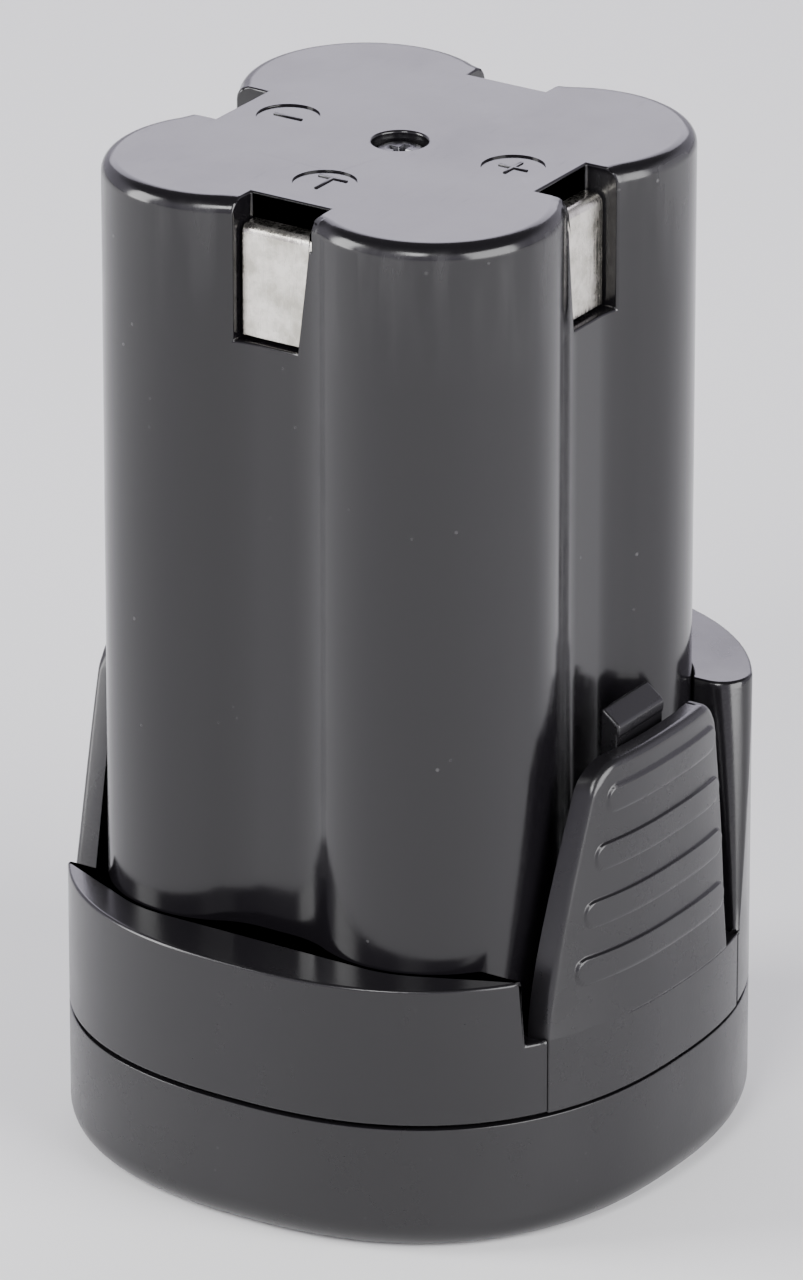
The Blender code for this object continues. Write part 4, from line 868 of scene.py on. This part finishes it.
def catch(name):
    """The catch: a neck behind the tongue, a nose that faces outwards and a ramp above it."""
    view = [(25.9, 36.4), (25.7, 41.95), (24.3, 41.95), (24.3, 43.15), (24.45, 43.15), (24.45, 44.15),
            (22.75, 45.45), (22.5, 45.3), (22.45, 38.2)]
    rings = [[(x * MM, y * MM, z * MM) for x, z in view] for y in (-4.6, 2.8)]
    obj = face_out(stacked(name, rings))
    bevel = obj.modifiers.new("Edges", "BEVEL")
    bevel.width = 0.22 * MM
    bevel.segments = 3
    bevel.limit_method = "ANGLE"
    bevel.angle_limit = math.radians(20)
    bevel.use_clamp_overlap = False
    return settle(obj)


latch_finish = satin_black("latch_black_abs", (0.008, 0.0075, 0.0085), 0.27, 0.5)
latch = shape_with(latch_skin("latch_moulding_right"), "UNION", [catch("catch")])
even_light(latch)
latch.data.materials.clear()
latch.data.materials.append(latch_finish)
other = latch.data.copy()
other.transform(Matrix.Scale(-1, 4, (1, 0, 0)))
other.flip_normals()
twin = bpy.data.objects.new("latch_moulding_left", other)
bpy.context.scene.collection.objects.link(twin)
for moulding, side, sign in ((latch, "right", 1), (twin, "left", -1)):
    even_light(moulding)
    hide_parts("latch_" + side, "latch_foot_" + side)
    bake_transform(moulding)


# ---------------------------------------------------------------- screws
# One dark zinc plated cross-head screw in the roof holds the contact block, and four more of a
# smaller size pull the cap up to the collar from below.

def dark_zinc():
    finish, shader, node, links = new_finish("dark_zinc", (0.13, 0.13, 0.135), 0.3, 1.0)
    place = node("ShaderNodeTexCoord")
    film = node("ShaderNodeTexNoise", (("Vector", place.outputs["Object"]),), Scale=900.0, Detail=5.0)
    shaded(node, links, shader, (0.07, 0.07, 0.075), (0.20, 0.20, 0.21),
           spread(node, film.outputs["Fac"], 0.35, 0.65, 0.0, 1.0))
    links.new(spread(node, film.outputs["Fac"], 0.3, 0.7, 0.2, 0.42), shader.inputs["Roughness"])
    relief(node, links, shader, film.outputs["Fac"], 0.00002, 0.4)
    return finish


def cross_screw(name, x, y, head_z, up, head_radius, head_height, shank, length):
    """A pan head on a shank, turned, with a tapered cross sunk in the head."""
    soft = 0.3 * MM
    heights = [(0.0, 0.0), (0.0, 0.0)]
    profile = [(head_radius - soft, 0.0)]
    profile += [(head_radius - soft + soft * math.sin(a), -soft + soft * math.cos(a))
                for a in [math.pi / 2 * i / 4 for i in range(1, 5)]]
    profile += [(head_radius, -head_height), (shank, -head_height)]
    profile += [(shank, -head_height - length + soft), (shank - soft, -head_height - length)]
    steps = 48
    turn = [2 * math.pi * i / steps for i in range(steps)]
    rings = [[(x + r * math.cos(a), y + r * math.sin(a), head_z + up * d) for a in turn] for r, d in profile]
    screw = stacked(name, list(reversed(rings)) if up > 0 else rings)
    top, foot = 0.62 * head_radius, 0.22 * head_radius
    wide, narrow = 0.17 * head_radius, 0.10 * head_radius
    sink = 0.75 * head_height
    for turned in (False, True):
        rings = []
        for reach, half, depth in ((foot, narrow, -sink), (top, wide, 0.0), (top + 0.2 * MM, wide, PAST)):
            a, b = (half, reach) if turned else (reach, half)
            ring = [(x - a, y - b), (x + a, y - b), (x + a, y + b), (x - a, y + b)]
            rings.append(raised(ring, head_z + up * depth))
        shape_with(screw, "DIFFERENCE", [stacked("cross", rings if up > 0 else list(reversed(rings)))])
    return ease_edges(screw, 0.05 * MM, 2)


zinc = dark_zinc()
screws = [("top_screw", cross_screw("screw_top", 0.0, TOWER_AXIS, TOWER_TOP - 0.8 * MM, 1,
                                    2.15 * MM, 0.7 * MM, 1.2 * MM, 8.0 * MM))]
screws += [("cap_screw_%d" % (i + 1), cross_screw("screw_cap_%d" % (i + 1), x, y, 1.5 * MM, -1,
                                                  1.9 * MM, 1.2 * MM, 1.0 * MM, 12.5 * MM))
           for i, (x, y) in enumerate(SCREW_PLACES)]
for name, screw in screws:
    screw.data.materials.clear()
    screw.data.materials.append(zinc)
    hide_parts(name)
    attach(screw, "pack")


# ---------------------------------------------------------------- table and light
# The pack stands on a pale seamless sheet in a light tent that is white low down and dark overhead.
# Soft panels light it from high behind, from each side and from high in front.

bpy.ops.mesh.primitive_plane_add(size=6.0, location=(0.0, 0.0, 0.0))
sheet = bpy.context.object
sheet.name = "table_sheet"
paper = bpy.data.materials.new("seamless_paper")
paper.use_nodes = True
paper.node_tree.nodes["Principled BSDF"].inputs["Base Color"].default_value = (0.92, 0.92, 0.92, 1.0)
paper.node_tree.nodes["Principled BSDF"].inputs["Roughness"].default_value = 0.9
sheet.data.materials.append(paper)

world = bpy.data.worlds.new("light_tent")
bpy.context.scene.world = world
world.use_nodes = True
sky = world.node_tree
direction = sky.nodes.new("ShaderNodeTexCoord")
height = sky.nodes.new("ShaderNodeSeparateXYZ")
tent = sky.nodes.new("ShaderNodeValToRGB")
tent.color_ramp.elements[0].position = 0.42
tent.color_ramp.elements[0].color = (0.90, 0.86, 1.0, 1.0)
tent.color_ramp.elements[1].position = 0.68
tent.color_ramp.elements[1].color = (0.14, 0.14, 0.15, 1.0)
sky.links.new(direction.outputs["Generated"], height.inputs["Vector"])
sky.links.new(height.outputs["Z"], tent.inputs["Fac"])
sky.links.new(tent.outputs["Color"], sky.nodes["Background"].inputs["Color"])
sky.nodes["Background"].inputs["Strength"].default_value = 1.1


def soft_panel(name, place, aim, width, height, power, colour=(1.0, 1.0, 1.0)):
    lamp = bpy.data.lights.new(name, "AREA")
    lamp.shape = "RECTANGLE"
    lamp.size = width
    lamp.size_y = height
    lamp.energy = power
    lamp.color = colour
    obj = bpy.data.objects.new(name, lamp)
    bpy.context.scene.collection.objects.link(obj)
    obj.location = place
    obj.rotation_euler = (Vector(aim) - Vector(place)).to_track_quat("-Z", "Y").to_euler()
    return obj


middle = (0.0, 0.0, 0.05)
soft_panel("panel_above", (-0.55, 0.85, 0.62), middle, 1.0, 0.5, 4.5, (0.90, 0.86, 1.0))
soft_panel("panel_left", (-0.75, -0.55, 0.30), middle, 0.4, 0.9, 14.0)
soft_panel("panel_right", (0.95, -0.10, 0.30), middle, 0.8, 0.9, 20.0)
soft_panel("panel_front", (0.3, -1.3, 1.1), middle, 0.5, 0.5, 14.0)


# ---------------------------------------------------------------- camera
# A long lens from the front right corner, a little above the pack.

TURN = 0.573453
TILT = 0.401792
DISTANCE = 1.0
AIM = Vector((0.00011, -0.00153, 0.04561))
forward = Vector((-math.sin(TURN) * math.cos(TILT), math.cos(TURN) * math.cos(TILT), -math.sin(TILT)))
lens = bpy.data.cameras.new("camera")
lens.lens = 321.7
lens.sensor_width = 36.0
lens.clip_start = 0.01
lens.clip_end = 20.0
camera = bpy.data.objects.new("camera", lens)
bpy.context.scene.collection.objects.link(camera)
camera.location = AIM - forward * DISTANCE
camera.rotation_euler = forward.to_track_quat("-Z", "Y").to_euler()
bpy.context.scene.camera = camera
